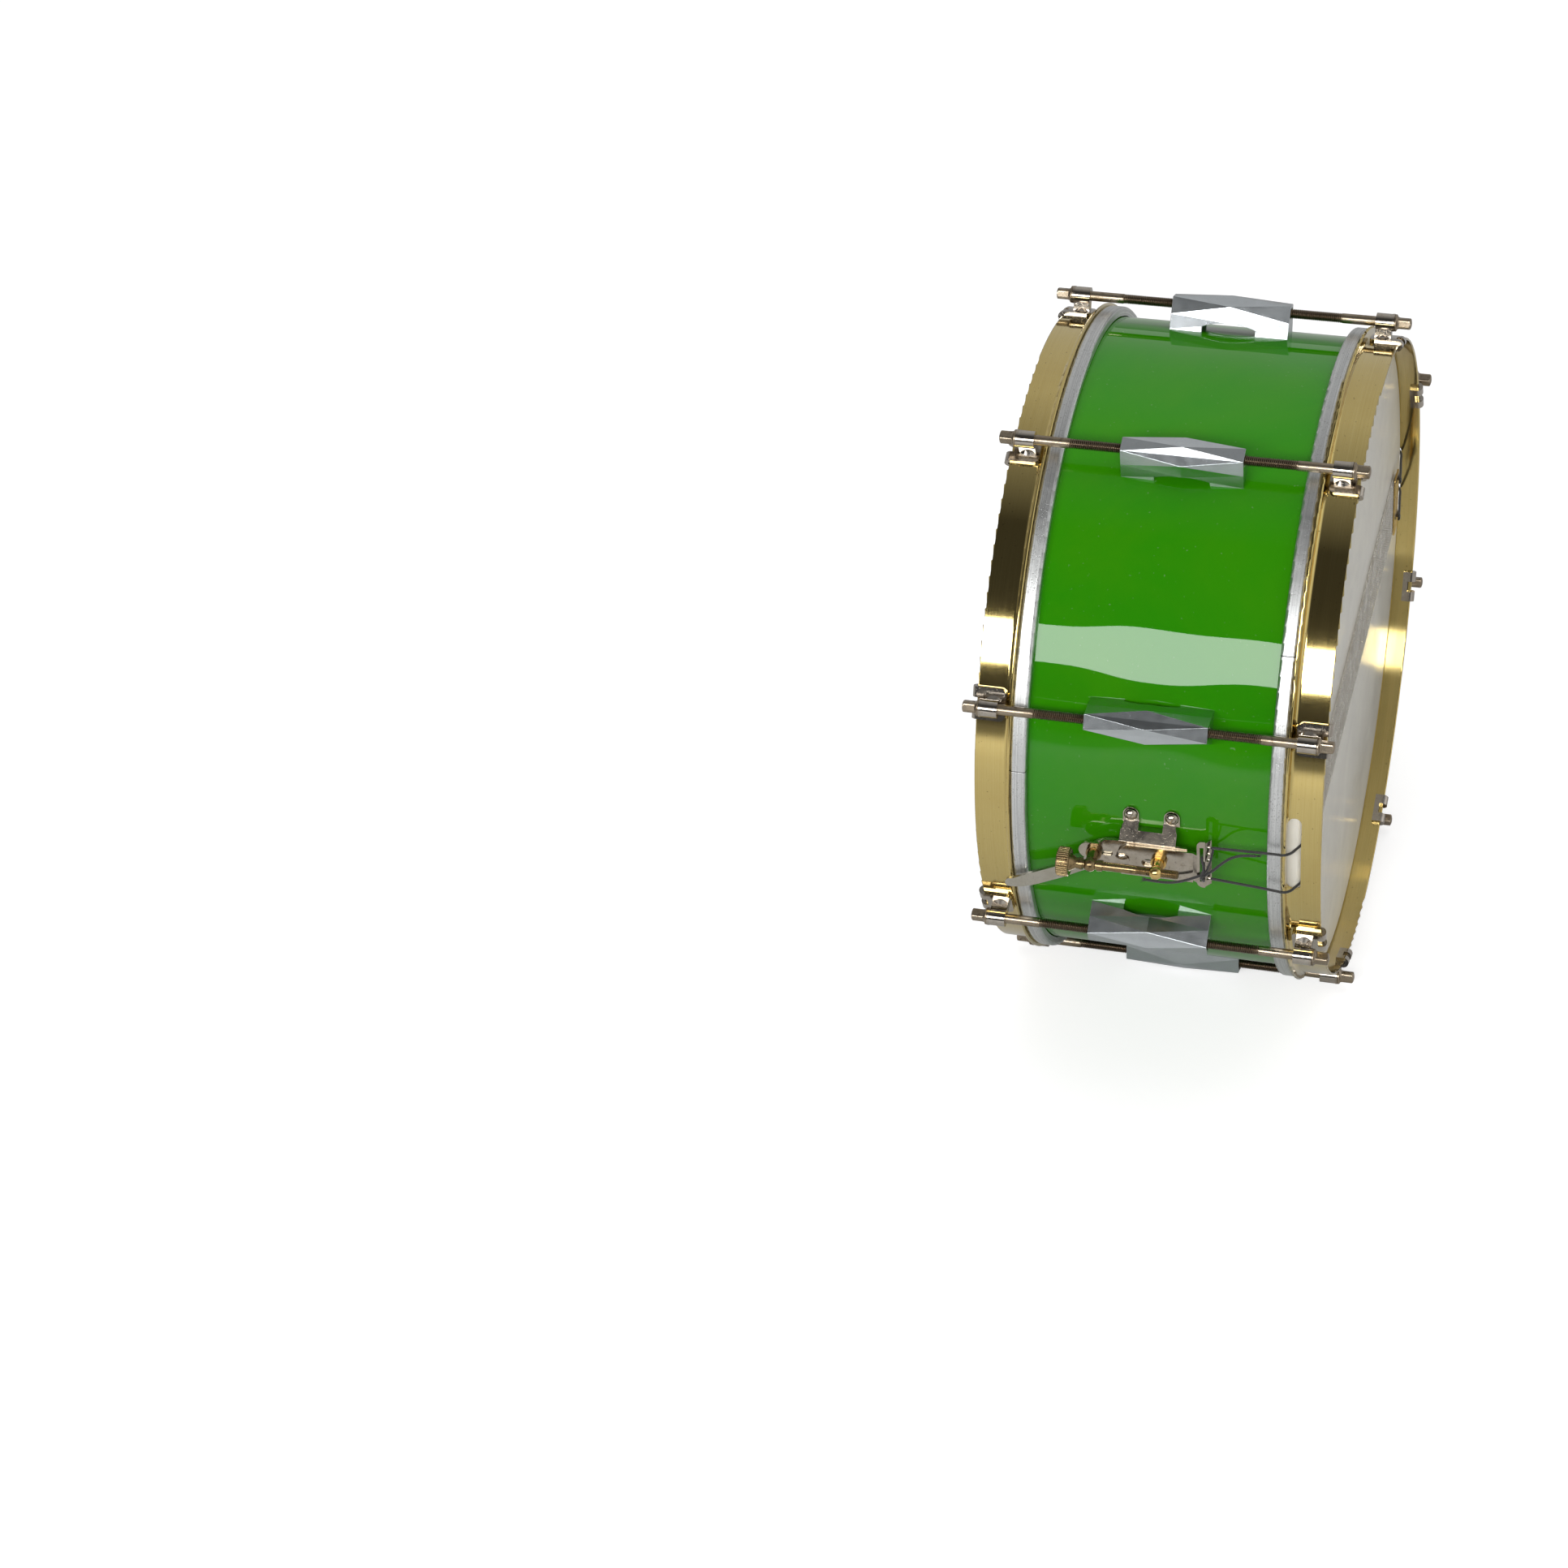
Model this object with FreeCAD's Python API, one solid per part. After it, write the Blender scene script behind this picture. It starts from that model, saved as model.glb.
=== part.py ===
"""A 14 x 6.5 inch snare drum lying on its edge, with eight faceted lugs, clamped
single-flange hoops, a cam strainer with a screw adjuster and a coiled snare strip.

Millimetres. X is the drum's axis: the snare side is +X and the batter side -X.
The strainer faces -Y and +Z is up. Everything is drawn about the drum's centre,
as it lies at the front of the shell, where "out" is the distance from the axis
towards -Y, and is then turned about the axis to its place. Last of all the whole
drum is lifted so that the middle of its base is the origin.
"""
import FreeCAD, Part
import math
import os

V = FreeCAD.Vector

# ---- driving sizes -------------------------------------------------------------
SHELL_R = 177.8            # outside radius of the shell (14 inch drum)
SHELL_DEPTH = 165.1        # edge to edge (6.5 inch)
SHELL_WALL = 6.0
BEARING_INSET = 2.3        # the bearing edge peaks this far inside the outer face
LUG_COUNT = 8
LUG_LENGTH = 66.0
LUG_WALL = 1.9
ROD_ABOVE_SHELL = 12.8     # rod centre line above the shell's face
ROD_R = 2.75
RUN_FIT = 0.06             # radial clearance of a turning rod, pin or screw
SLIDE_FIT = 0.20           # clearance of a sliding plate or pin in its slot
THREAD_ENGAGEMENT = 14.0   # how far a rod reaches into its lug

FLESH_GAP = 0.6            # shell to flesh hoop, filled by the head's collar
FLESH_THICK = 5.0
FLESH_LENGTH = 8.5
FLESH_BELOW_EDGE = 8.65    # top of the flesh hoop, below the bearing edge
FILM = 0.3                 # drum head film

HOOP_GAP = 0.9             # shell to the counter hoop's wall
HOOP_WALL = 1.5
HOOP_RISE = 11.55          # hoop edge above the bearing edge
FLANGE_THICK = 1.7
FLANGE_OVERHANG = 1.5      # flange past the flesh hoop
HOOP_FILLET = 2.4
GATE_LENGTH = 49.0         # slot for the snare cords, across the hoop
GATE_WIDTH = 7.7

CLAW_WIDTH = 18.0
CLAW_PLATE = 2.0
CLAW_REACH = 15.6          # plate length along the hoop's wall
COLLAR_R = 4.75
COLLAR_LENGTH = 8.9
COLLAR_TO_EDGE = 5.2       # collar's outer end, inboard of the hoop's edge
WASHER_R = 4.9
WASHER_THICK = 1.2
ROD_FLANGE_R = 4.75
ROD_FLANGE = 2.2
KEY_SQUARE = 6.0
KEY_LENGTH = 7.2

SCREW_R = 2.2
SCREW_HEAD_R = 4.2
STRAINER_TURN = -2.2       # degrees round the shell from the middle of the gate
STRAND_COUNT = 20
STRAND_PITCH = 2.0
STRAND_R = 0.85
STRAND_LENGTH = 296.0
CORD_R = 0.75

# ---- sizes worked out from those -----------------------------------------------
EDGE_X = SHELL_DEPTH / 2
SHELL_IN_R = SHELL_R - SHELL_WALL
ROD_CIRCLE = SHELL_R + ROD_ABOVE_SHELL
FLESH_IN_R = SHELL_R + FLESH_GAP
FLESH_OUT_R = FLESH_IN_R + FLESH_THICK
FLESH_TOP = EDGE_X - FLESH_BELOW_EDGE
HOOP_IN_R = SHELL_R + HOOP_GAP
HOOP_OUT_R = HOOP_IN_R + HOOP_WALL
HOOP_EDGE = EDGE_X + HOOP_RISE
FLANGE_R = FLESH_OUT_R + FLANGE_OVERHANG
COLLAR_END = HOOP_EDGE - COLLAR_TO_EDGE
COLLAR_START = COLLAR_END - COLLAR_LENGTH
LUG_STEP = 360 / LUG_COUNT
FIRST_LUG = LUG_STEP / 2
HEAD_FACE = EDGE_X + FILM

parts = {}


# ---- helpers -------------------------------------------------------------------
def at(x, out, up=0.0):
    """A point given by its distance out from the axis at the drum's front."""
    return V(x, -out, up)


def turned(shape, degrees):
    """The shape carried round the drum's axis, upwards at the front."""
    copy = shape.copy()
    copy.rotate(V(0, 0, 0), V(1, 0, 0), -degrees)
    return copy


def mirrored(shape):
    """The batter side's twin of a shape on the snare side."""
    return shape.mirror(V(0, 0, 0), V(1, 0, 0))


def lathe(profile):
    """A ring round the axis from (x, radius) points, with arcs as three points."""
    edges = outline_edges([V(x, -r, 0) for x, r in profile[0]], profile[1])
    return Part.Face(Part.Wire(edges)).revolve(V(0, 0, 0), V(1, 0, 0), 360)


def outline_edges(points, arcs=()):
    """Straight edges round the points; each index in arcs is an arc's mid point."""
    edges = []
    count = len(points)
    index = 0
    while index < count:
        following = (index + 1) % count
        if following in arcs:
            end = (index + 2) % count
            edges.append(Part.Arc(points[index], points[following], points[end]).toShape())
            index += 2
        else:
            edges.append(Part.LineSegment(points[index], points[following]).toShape())
            index += 1
    return edges


def plate(points, out_face, thickness, arcs=()):
    """A flat plate facing the front, from (x, up) points, with its outer face at out_face."""
    wire = Part.Wire(outline_edges([at(x, out_face, up) for x, up in points], arcs))
    return Part.Face(wire).extrude(V(0, thickness, 0))


def slot_out(x0, x1, up, half_width, out_from, out_to):
    """A round-ended slot along X, cut through everything between two distances out."""
    points = [(x0, up - half_width), (x1, up - half_width), (x1 + half_width, up),
              (x1, up + half_width), (x0, up + half_width), (x0 - half_width, up)]
    return plate(points, out_to, out_to - out_from, arcs=(2, 5))


def rod_x(radius, x0, x1, out=0.0, up=0.0):
    return Part.makeCylinder(radius, x1 - x0, at(x0, out, up), V(1, 0, 0))


def pin_out(radius, out0, out1, x, up):
    return Part.makeCylinder(radius, out1 - out0, at(x, out0, up), V(0, -1, 0))


def box(x0, x1, out0, out1, up0, up1):
    return Part.makeBox(x1 - x0, out1 - out0, up1 - up0, at(x0, out1, up0))


def fused(first, *others):
    return first.fuse(list(others)).removeSplitter() if others else first


def lug_angles():
    return [FIRST_LUG + LUG_STEP * (2 - index) for index in range(LUG_COUNT)]


# ---- shell, heads and hoops ----------------------------------------------------
def make_shell():
    peak = SHELL_R - BEARING_INSET
    side = [(EDGE_X, peak), (EDGE_X - 0.7, SHELL_R - 0.7), (EDGE_X - BEARING_INSET, SHELL_R)]
    inner = EDGE_X - (peak - SHELL_IN_R)
    points = side + [(-x, r) for x, r in reversed(side)] + [(-inner, SHELL_IN_R), (inner, SHELL_IN_R)]
    body = lathe((points, (1, 4)))
    holes = [turned(pin_out(SCREW_R + 0.3, SHELL_IN_R - 5, SHELL_R + 5, x, 0), angle)
             for angle in lug_angles() for x in (-BOSS_X, BOSS_X)]
    holes += [turned(pin_out(FOOT_SCREW_R + 0.2, SHELL_IN_R - 5, SHELL_R + 5, x, FOOT_UP), STRAINER_TURN)
              for x in FOOT_X]
    holes += [turned(pin_out(FOOT_SCREW_R + 0.2, SHELL_IN_R - 5, SHELL_R + 5, x, 0), 180 + STRAINER_TURN)
              for x in BUTT_SCREW_X]
    return body.cut(holes)


def make_head():
    """The film: flat to the bearing edge, then down its collar into the flesh hoop."""
    peak = SHELL_R - BEARING_INSET
    skirt = SHELL_R + 0.15
    low = FLESH_TOP - 6
    points = [(EDGE_X, 0), (EDGE_X, peak + 0.05), (EDGE_X - 0.65, SHELL_R - 0.6),
              (EDGE_X - BEARING_INSET, skirt), (low, skirt), (low, skirt + FILM),
              (EDGE_X - BEARING_INSET, skirt + FILM), (HEAD_FACE - 0.6, SHELL_R - 0.35),
              (HEAD_FACE, peak + 0.1), (HEAD_FACE, 0)]
    return lathe((points, (2, 7)))


def make_flesh_hoop():
    low = FLESH_TOP - FLESH_LENGTH
    bend = 1.6
    corner = bend * (1 - math.sqrt(0.5))
    points = [(low, FLESH_IN_R), (low, FLESH_OUT_R - bend), (low + corner, FLESH_OUT_R - corner),
              (low + bend, FLESH_OUT_R), (FLESH_TOP - bend, FLESH_OUT_R),
              (FLESH_TOP - corner, FLESH_OUT_R - corner), (FLESH_TOP, FLESH_OUT_R - bend),
              (FLESH_TOP, FLESH_IN_R)]
    return lathe((points, (2, 5)))


def make_counter_hoop():
    """A straight wall with a turned-out flange that bears on the flesh hoop."""
    seat = FLESH_TOP
    top = seat + FLANGE_THICK
    corner = HOOP_FILLET * (1 - math.sqrt(0.5))
    rim = HOOP_WALL / 2
    lip = FLANGE_THICK / 2
    points = [(seat, HOOP_IN_R), (seat, FLANGE_R - lip), (seat + lip, FLANGE_R), (top, FLANGE_R - lip),
              (top, HOOP_OUT_R + HOOP_FILLET), (top + corner, HOOP_OUT_R + corner),
              (top + HOOP_FILLET, HOOP_OUT_R), (HOOP_EDGE - rim, HOOP_OUT_R),
              (HOOP_EDGE, HOOP_OUT_R - rim), (HOOP_EDGE - rim, HOOP_IN_R)]
    return lathe((points, (2, 5, 8)))


def cut_gates(hoop):
    """The two slots that let the snare cords and the butt's strap into the hoop."""
    start = FLESH_TOP + FLANGE_THICK
    bend = GATE_WIDTH / 2
    half = GATE_LENGTH / 2
    points = [(start, half - bend), (start, bend - half), (start + bend, -half),
              (start + GATE_WIDTH, bend - half), (start + GATE_WIDTH, half - bend), (start + bend, half)]
    gate = plate(points, FLANGE_R + 5, 20, arcs=(2, 5))
    return hoop.cut([gate, turned(gate, 180)])


# ---- one lug: casing, swivel nuts, spring, screws ------------------------------
LUG_END = [(9.3, 0.0), (7.3, 8.2), (4.3, 17.5)]     # (half width, height) of the end face
LUG_SIDE_PEAK = (9.3, 15.1)                         # the bulge between the side's two facets
LUG_FRONT_PEAK = 20.1                               # height of the front facets' meeting point
LUG_FOOT = (15.0, 3.0)                              # the arch springs from here
LUG_ARCH = 5.8                                      # and rises to here
LUG_WAIST = 10.1                                    # half width over the arch
BOSS_X = 22.0
BOSS_R = 3.6
BOSS_TOP = 7.4
NUT_R = 3.9
NUT_LENGTH = 11.0
NUT_NECK_R = 3.4
SPRING_R = 3.7
WASHER_SCREW = 1.0


def make_casing():
    half = LUG_LENGTH / 2
    wide, middle, top = LUG_END
    sink = -2.0

    def ring(x, sign):
        return [at(x, SHELL_R + height, sign * width)
                for width, height in ((wide[0], sink), wide, middle, top)]

    peak = at(0, SHELL_R + LUG_FRONT_PEAK, 0)
    faces = []
    sides = {}
    for sign in (-1, 1):
        left, right = ring(-half, sign), ring(half, sign)
        waist = at(0, SHELL_R + LUG_ARCH, sign * LUG_WAIST)
        waist_low = at(0, SHELL_R + sink, sign * LUG_WAIST)
        bulge = at(0, SHELL_R + LUG_SIDE_PEAK[1], sign * LUG_SIDE_PEAK[0])
        sides[sign] = (left, right, waist_low)
        for near in (left, right):
            faces += [(near[0], near[1], waist), (near[0], waist, waist_low), (near[1], near[2], waist),
                      (near[2], bulge, waist), (near[2], near[3], bulge)]
        faces += [(left[3], right[3], bulge), (left[3], right[3], peak)]
    for end in (0, 1):
        low, high = sides[-1][end], sides[1][end]
        faces += [(low[3], high[3], peak), (low[0], low[1], high[1], high[0]),
                  (low[1], low[2], high[2], high[1]), (low[2], low[3], high[3], high[2])]
    faces.append((sides[-1][0][0], sides[-1][2], sides[-1][1][0],
                  sides[1][1][0], sides[1][2], sides[1][0][0]))
    skin = Part.makeShell([Part.Face(Part.makePolygon(list(f) + [f[0]])) for f in faces])
    skin.sewShape()
    block = Part.makeSolid(skin)
    if block.Volume < 0:
        block.reverse()

    end_wall = LUG_WALL + 0.6
    hollow = [(wide[0] - LUG_WALL, sink - 1), (wide[0] - LUG_WALL, 0), (middle[0] - LUG_WALL, middle[1]),
              (top[0] - 0.8, top[1] - LUG_WALL)]
    outline = [at(end_wall - half, SHELL_R + h, w) for w, h in hollow]
    outline += [at(end_wall - half, SHELL_R + h, -w) for w, h in reversed(hollow)]
    cavity = Part.Face(Part.makePolygon(outline + outline[:1])).extrude(V(LUG_LENGTH - 2 * end_wall, 0, 0))
    foot, foot_height = LUG_FOOT
    arch = Part.Wire([Part.makePolygon([at(foot, SHELL_R + foot_height, -20), at(foot, SHELL_R + sink - 1, -20),
                                        at(-foot, SHELL_R + sink - 1, -20), at(-foot, SHELL_R + foot_height, -20)]),
                      Part.Arc(at(-foot, SHELL_R + foot_height, -20), at(0, SHELL_R + LUG_ARCH, -20),
                               at(foot, SHELL_R + foot_height, -20)).toShape()])
    tools = [cavity, Part.Face(arch).extrude(V(0, 0, 40)),
             Part.makeCylinder(SHELL_R, LUG_LENGTH + 2, V(-half - 1, 0, 0), V(1, 0, 0)),
             rod_x(NUT_NECK_R + 0.15, -half - 1, half + 1, ROD_CIRCLE),
             rod_x(NUT_R + 0.1, end_wall - half, half - end_wall, ROD_CIRCLE)]
    casing = block.cut(tools)
    for x in (-BOSS_X, BOSS_X):
        boss = pin_out(BOSS_R, SHELL_R, SHELL_R + BOSS_TOP, x, 0)
        web = box(x - 1.2, x + 1.2, SHELL_R + 0.4, SHELL_R + BOSS_TOP, 1.8 - wide[0], wide[0] - 1.8)
        casing = casing.fuse([boss, web])
        casing = casing.cut(pin_out(SCREW_R + 0.02, SHELL_R - 3, SHELL_R + BOSS_TOP + 1, x, 0))
    return casing.cut(tools[2]).removeSplitter()


def make_swivel_nut():
    """The snare end's nut: a threaded barrel with a neck in the casing's end hole."""
    neck = LUG_LENGTH / 2
    shoulder = neck - LUG_WALL - 0.7
    nut = fused(rod_x(NUT_R, shoulder - NUT_LENGTH, shoulder, ROD_CIRCLE),
                rod_x(NUT_NECK_R, shoulder, neck - 0.4, ROD_CIRCLE))
    return nut.cut(rod_x(ROD_R + RUN_FIT, shoulder - NUT_LENGTH - 1, neck + 1, ROD_CIRCLE))


def make_lug_spring():
    reach = LUG_LENGTH / 2 - LUG_WALL - 0.7 - NUT_LENGTH
    outer = rod_x(SPRING_R, -reach, reach, ROD_CIRCLE)
    return outer.cut(rod_x(ROD_R + 0.25, -reach - 1, reach + 1, ROD_CIRCLE))


def make_lug_screw():
    tip = SHELL_R + BOSS_TOP - 0.5
    head_top = SHELL_IN_R - WASHER_SCREW
    shank = pin_out(SCREW_R, head_top - 1, tip, BOSS_X, 0)
    head = pin_out(SCREW_HEAD_R, head_top - 2.6, head_top, BOSS_X, 0)
    cross = fused(box(BOSS_X - 2.2, BOSS_X + 2.2, head_top - 3, head_top - 1.2, -0.5, 0.5),
                  box(BOSS_X - 0.5, BOSS_X + 0.5, head_top - 3, head_top - 1.2, -2.2, 2.2))
    return fused(shank, head).cut(cross)



def make_lug_washer():
    """Lies on the shell's inside, so its outer face follows the curve there."""
    low = SHELL_IN_R - WASHER_SCREW
    disc = pin_out(SCREW_HEAD_R + 1.3, low, SHELL_IN_R + 0.5, BOSS_X, 0)
    disc = disc.common(Part.makeCylinder(SHELL_IN_R, 30, V(BOSS_X - 15, 0, 0), V(1, 0, 0)))
    return disc.cut(pin_out(SCREW_R + 0.1, low - 1, SHELL_R, BOSS_X, 0))


# ---- rods, claws and washers (drawn for the snare side) ------------------------
def make_rod():
    """A tension rod: plain shank, round flange and square key head."""
    flange = COLLAR_END + WASHER_THICK
    tip = flange + ROD_FLANGE + KEY_LENGTH
    inner = LUG_LENGTH / 2 - THREAD_ENGAGEMENT
    shank = rod_x(ROD_R, inner, flange + 0.5, ROD_CIRCLE)
    collar = rod_x(ROD_FLANGE_R, flange, flange + ROD_FLANGE * 0.55, ROD_CIRCLE)
    cone = Part.makeCone(ROD_FLANGE_R, KEY_SQUARE / 2, ROD_FLANGE * 0.45,
                         at(flange + ROD_FLANGE * 0.55, ROD_CIRCLE), V(1, 0, 0))
    half = KEY_SQUARE / 2
    key = box(flange + ROD_FLANGE * 0.5, tip, ROD_CIRCLE - half, ROD_CIRCLE + half, -half, half)
    key = key.common(rod_x(half * 1.27, flange, tip, ROD_CIRCLE))
    dome = Part.makeSphere(KEY_LENGTH * 1.15, at(tip - KEY_LENGTH * 1.15, ROD_CIRCLE))
    return fused(shank, collar, cone, key.common(dome.fuse(rod_x(10, flange, tip - 2, ROD_CIRCLE))))


def make_washer():
    disc = rod_x(WASHER_R, COLLAR_END, COLLAR_END + WASHER_THICK, ROD_CIRCLE)
    return disc.cut(rod_x(ROD_R + 0.25, COLLAR_END - 1, COLLAR_END + 3, ROD_CIRCLE))


def make_claw():
    """A collar on a neck, a plate on the hoop's wall and two prongs over its edge."""
    seat = HOOP_OUT_R + 0.1
    top = seat + CLAW_PLATE
    bend_in = HOOP_WALL / 2 + 0.15
    bend_out = bend_in + CLAW_PLATE
    centre = HOOP_EDGE - HOOP_WALL / 2 + 0.1
    middle = HOOP_OUT_R - HOOP_WALL / 2
    start = centre - CLAW_REACH
    tuck = centre - 4.5
    points = [(start, seat), (start, top), (centre, middle + bend_out), (centre + bend_out, middle),
              (centre, middle - bend_out), (tuck, middle - bend_out), (tuck, middle - bend_in),
              (centre, middle - bend_in), (centre + bend_in, middle), (centre, middle + bend_in)]
    strip = lathe((points, (3, 8)))
    half = CLAW_WIDTH / 2
    bend = 3.2
    mask_points = [(start, half - bend), (start, bend - half), (start + 0.3 * bend, 0.3 * bend - half),
                   (start + bend, -half), (centre + 6, -half), (centre + 6, half), (start + bend, half),
                   (start + 0.3 * bend, half - 0.3 * bend)]
    mask = plate(mask_points, top + 8, 30, arcs=(2, 7))
    plate_part = strip.common(mask).cut(box(centre - 1.5, centre + 8, middle - 8, top + 8, -3.1, 3.1))
    neck_points = [(COLLAR_START, -3.0), (COLLAR_END, -3.0), (COLLAR_END, 3.0), (COLLAR_START, 3.0)]
    neck = plate(neck_points, ROD_CIRCLE - 2, ROD_CIRCLE - 2 - (seat + 0.3))
    root = Part.makeCone(5.6, 3.0, 2.4, at((COLLAR_START + COLLAR_END) / 2, top - 0.6), V(0, -1, 0))
    root = root.common(box(COLLAR_START, COLLAR_END, top - 1, top + 4, -8, 8))
    collar = rod_x(COLLAR_R, COLLAR_START, COLLAR_END, ROD_CIRCLE)
    claw = fused(plate_part, neck, root, collar)
    return claw.cut(rod_x(ROD_R + RUN_FIT, COLLAR_START - 1, COLLAR_END + 1, ROD_CIRCLE))


# ---- the strainer, drawn at the front and then turned by STRAINER_TURN ---------
SHEET = 1.5                # thickness of its plates
BACK_FACE = FLANGE_R + 2.5  # outer face of the bracket's back plate, out from the axis
FOOT_X = (-8.5, 13.7)      # the two screwed feet
FOOT_UP = 21.3
FOOT_R = 4.3
FOOT_SCREW_R = 2.0
FOOT_HEAD_R = 3.7
SHELF_X = (-13.5, 17.2)
SHELF_UP = (9.8, 16.9)     # the sloping shelf's outer and inner bends
BACK_RIGHT = 23.5
BACK_LOW = -12.0
NOSE_X = -30.0
NOSE_R = 5.6
SCREW_OUT = BACK_FACE + 10.9  # centre line of the adjusting screw
SCREW_AXIS_R = 2.4
FRONT_TRUNNION_X = -27.0
REAR_TRUNNION_X = 8.6
STEM_R = 1.8
BALL_R = 3.9
TRUNNION_FLANGE_R = 4.3
TRAVEL = 5.0               # how far the lever lets the carriage go
TUNE = 1.8                 # adjuster travel each way
LEVER_SWING = 34.0         # degrees, downwards, away from the batter hoop
LEVER_PIVOT = (-12.0, -7.5)
LEVER_RIM = 1.7            # metal left round the lever's cam slot
LEVER_THICK = 1.8
LEVER_GAP = 0.3            # lever to back plate
GUIDE_X = -11.4
SLIDER_X = (-13.6, 27.0)
SLIDER_UP = (-12.4, 8.4)
EAR_X = (29.4, 36.8)
EAR_UP = (-13.7, 18.8)
EAR_OUT = 1.6              # the ear stands this far in front of the slider plate
CORD_HOLES_UP = [13.9 - 4.4 * i for i in range(6)]
CORD_UP = (CORD_HOLES_UP[0], CORD_HOLES_UP[5])
HOLE_R = 1.05
KNOB_X = (-44.6, -37.8)
KNOB_R = 8.0
SLIDER_BACK = BACK_FACE + SLIDE_FIT
SLIDER_FACE = SLIDER_BACK + SHEET


def make_bracket():
    """Two feet on the shell, a sloping shelf and a back plate with its slots."""
    inner = BACK_FACE - SHEET
    low, high = SHELF_UP
    outline = [(BACK_RIGHT, BACK_LOW), (BACK_RIGHT, low - 0.5), (SHELF_X[0] + 1, low), (-21.5, 9.0),
               (-24.5, NOSE_R), (NOSE_X, NOSE_R), (NOSE_X - NOSE_R, 0), (NOSE_X, -NOSE_R),
               (-22.5, -NOSE_R), (-19.0, BACK_LOW)]
    back = plate(outline, BACK_FACE, SHEET, arcs=(6,))
    back = back.cut([slot_out(FRONT_TRUNNION_X - 0.4, FRONT_TRUNNION_X + TRAVEL + 3.2, 0,
                              STEM_R + SLIDE_FIT, inner - 1, BACK_FACE + 1),
                     slot_out(GUIDE_X - TUNE - 0.3, GUIDE_X + TRAVEL + TUNE + 0.3, -2.0,
                              STEM_R + SLIDE_FIT, inner - 1, BACK_FACE + 1),
                     slot_out(REAR_TRUNNION_X - 7.0, REAR_TRUNNION_X + TRAVEL + TUNE + 0.3, 0,
                              STEM_R + SLIDE_FIT, inner - 1, BACK_FACE + 1),
                     pin_out(PIVOT_R, inner - 1, BACK_FACE + 1, *LEVER_PIVOT)])
    shell_out = SHELL_R * math.cos(math.radians(6.9)) + 0.1
    rise = SHEET * 0.75
    section = [(BACK_FACE, low - 0.5), (BACK_FACE, low), (shell_out + SHEET, high + rise),
               (shell_out, high + rise), (shell_out, high - rise), (inner, low - rise - 0.6), (inner, low - 0.5)]
    wire = Part.makePolygon([at(SHELF_X[0], out, up) for out, up in section + section[:1]])
    shelf = Part.Face(wire).extrude(V(SHELF_X[1] - SHELF_X[0], 0, 0))
    corner = 4.0
    for x, sign in ((SHELF_X[0], 1), (SHELF_X[1], -1)):
        wedge = Part.makePolygon([at(x - sign, 170, low + 2.2), at(x - sign, 170, high + 5),
                                  at(x + sign * corner, 170, high + 5), at(x - sign, 170, low + 2.2)])
        shelf = shelf.cut(Part.Face(wedge).extrude(V(0, -30, 0)))
    window = (FOOT_X[0] + FOOT_R + 0.2, FOOT_X[1] - FOOT_R - 0.2)
    shelf = shelf.cut([box(window[0], window[1], 170, 200, low + 4.3, high + 5),
                       box(FOOT_X[1] + FOOT_R, 40, 170, 200, low + 4.3, high + 5),
                       box(-40, FOOT_X[0] - FOOT_R, 170, 200, low + 4.3, high + 5)])
    bracket = back.fuse(shelf)
    bed = Part.makeCylinder(SHELL_R + 0.05, 80, V(-40, 0, 0), V(1, 0, 0))
    skin = Part.makeCylinder(SHELL_R + 0.05 + SHEET, 80, V(-40, 0, 0), V(1, 0, 0))
    for x in FOOT_X:
        foot = box(x - FOOT_R, x + FOOT_R, 165, 185, high - 0.6, FOOT_UP)
        foot = foot.fuse(pin_out(FOOT_R, 165, 185, x, FOOT_UP))
        foot = foot.common(skin).cut(bed)
        bracket = bracket.fuse(foot)
        bracket = bracket.cut(pin_out(FOOT_SCREW_R + 0.15, 165, 190, x, FOOT_UP))
    return bracket.cut(bed).removeSplitter()


def inner_face(up):
    """How far out the shell's inside is at that height, less a hair."""
    return math.sqrt(SHELL_IN_R ** 2 - up ** 2) - 0.02


def make_foot_screw(x, up, seat):
    """A round-head screw with one slot, through the shell into its own nut."""
    shank = pin_out(FOOT_SCREW_R, inner_face(up + 4.0) - 4.5, seat + 0.5, x, up)
    dome = Part.makeSphere(FOOT_HEAD_R * 1.12, at(x, seat - 1.6, up))
    dome = dome.common(pin_out(FOOT_HEAD_R, seat, seat + 6, x, up))
    slot = box(x - 0.45, x + 0.45, seat + 1.2, seat + 8, up - 6, up + 6)
    slot.rotate(at(x, seat, up), V(0, 1, 0), 30)
    return fused(shank, dome).cut(slot)


def make_foot_nut(x, up):
    """A six-sided nut on the inside of the shell."""
    seat = inner_face(up + 4.0)
    nut = hexagon(x, up, 4.0, seat - 3.7, seat)
    return nut.cut(pin_out(FOOT_SCREW_R + 0.03, seat - 6, SHELL_R, x, up))


def hexagon(x, up, radius, out0, out1):
    corners = [(x + radius * math.cos(math.radians(60 * k)), up + radius * math.sin(math.radians(60 * k)))
               for k in range(6)]
    return plate(corners, out1, out1 - out0)


PIVOT_R = 1.9
PIVOT_HEAD_R = 3.2


def make_lever_pivot():
    """A rivet flush in the back plate, with its head behind the lever."""
    inner = BACK_FACE - SHEET - LEVER_GAP - LEVER_THICK
    shank = pin_out(PIVOT_R, inner - 0.5, BACK_FACE, *LEVER_PIVOT)
    return fused(shank, pin_out(PIVOT_HEAD_R, inner - 1.3, inner - 0.15, *LEVER_PIVOT))


def lever_frame(point, angle):
    """Where a fixed point lies on the lever once it has turned by angle degrees about +Y."""
    turn = math.radians(angle)
    x, up = point[0] - LEVER_PIVOT[0], point[1] - LEVER_PIVOT[1]
    return (LEVER_PIVOT[0] + x * math.cos(turn) - up * math.sin(turn),
            LEVER_PIVOT[1] + x * math.sin(turn) + up * math.cos(turn))


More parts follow.
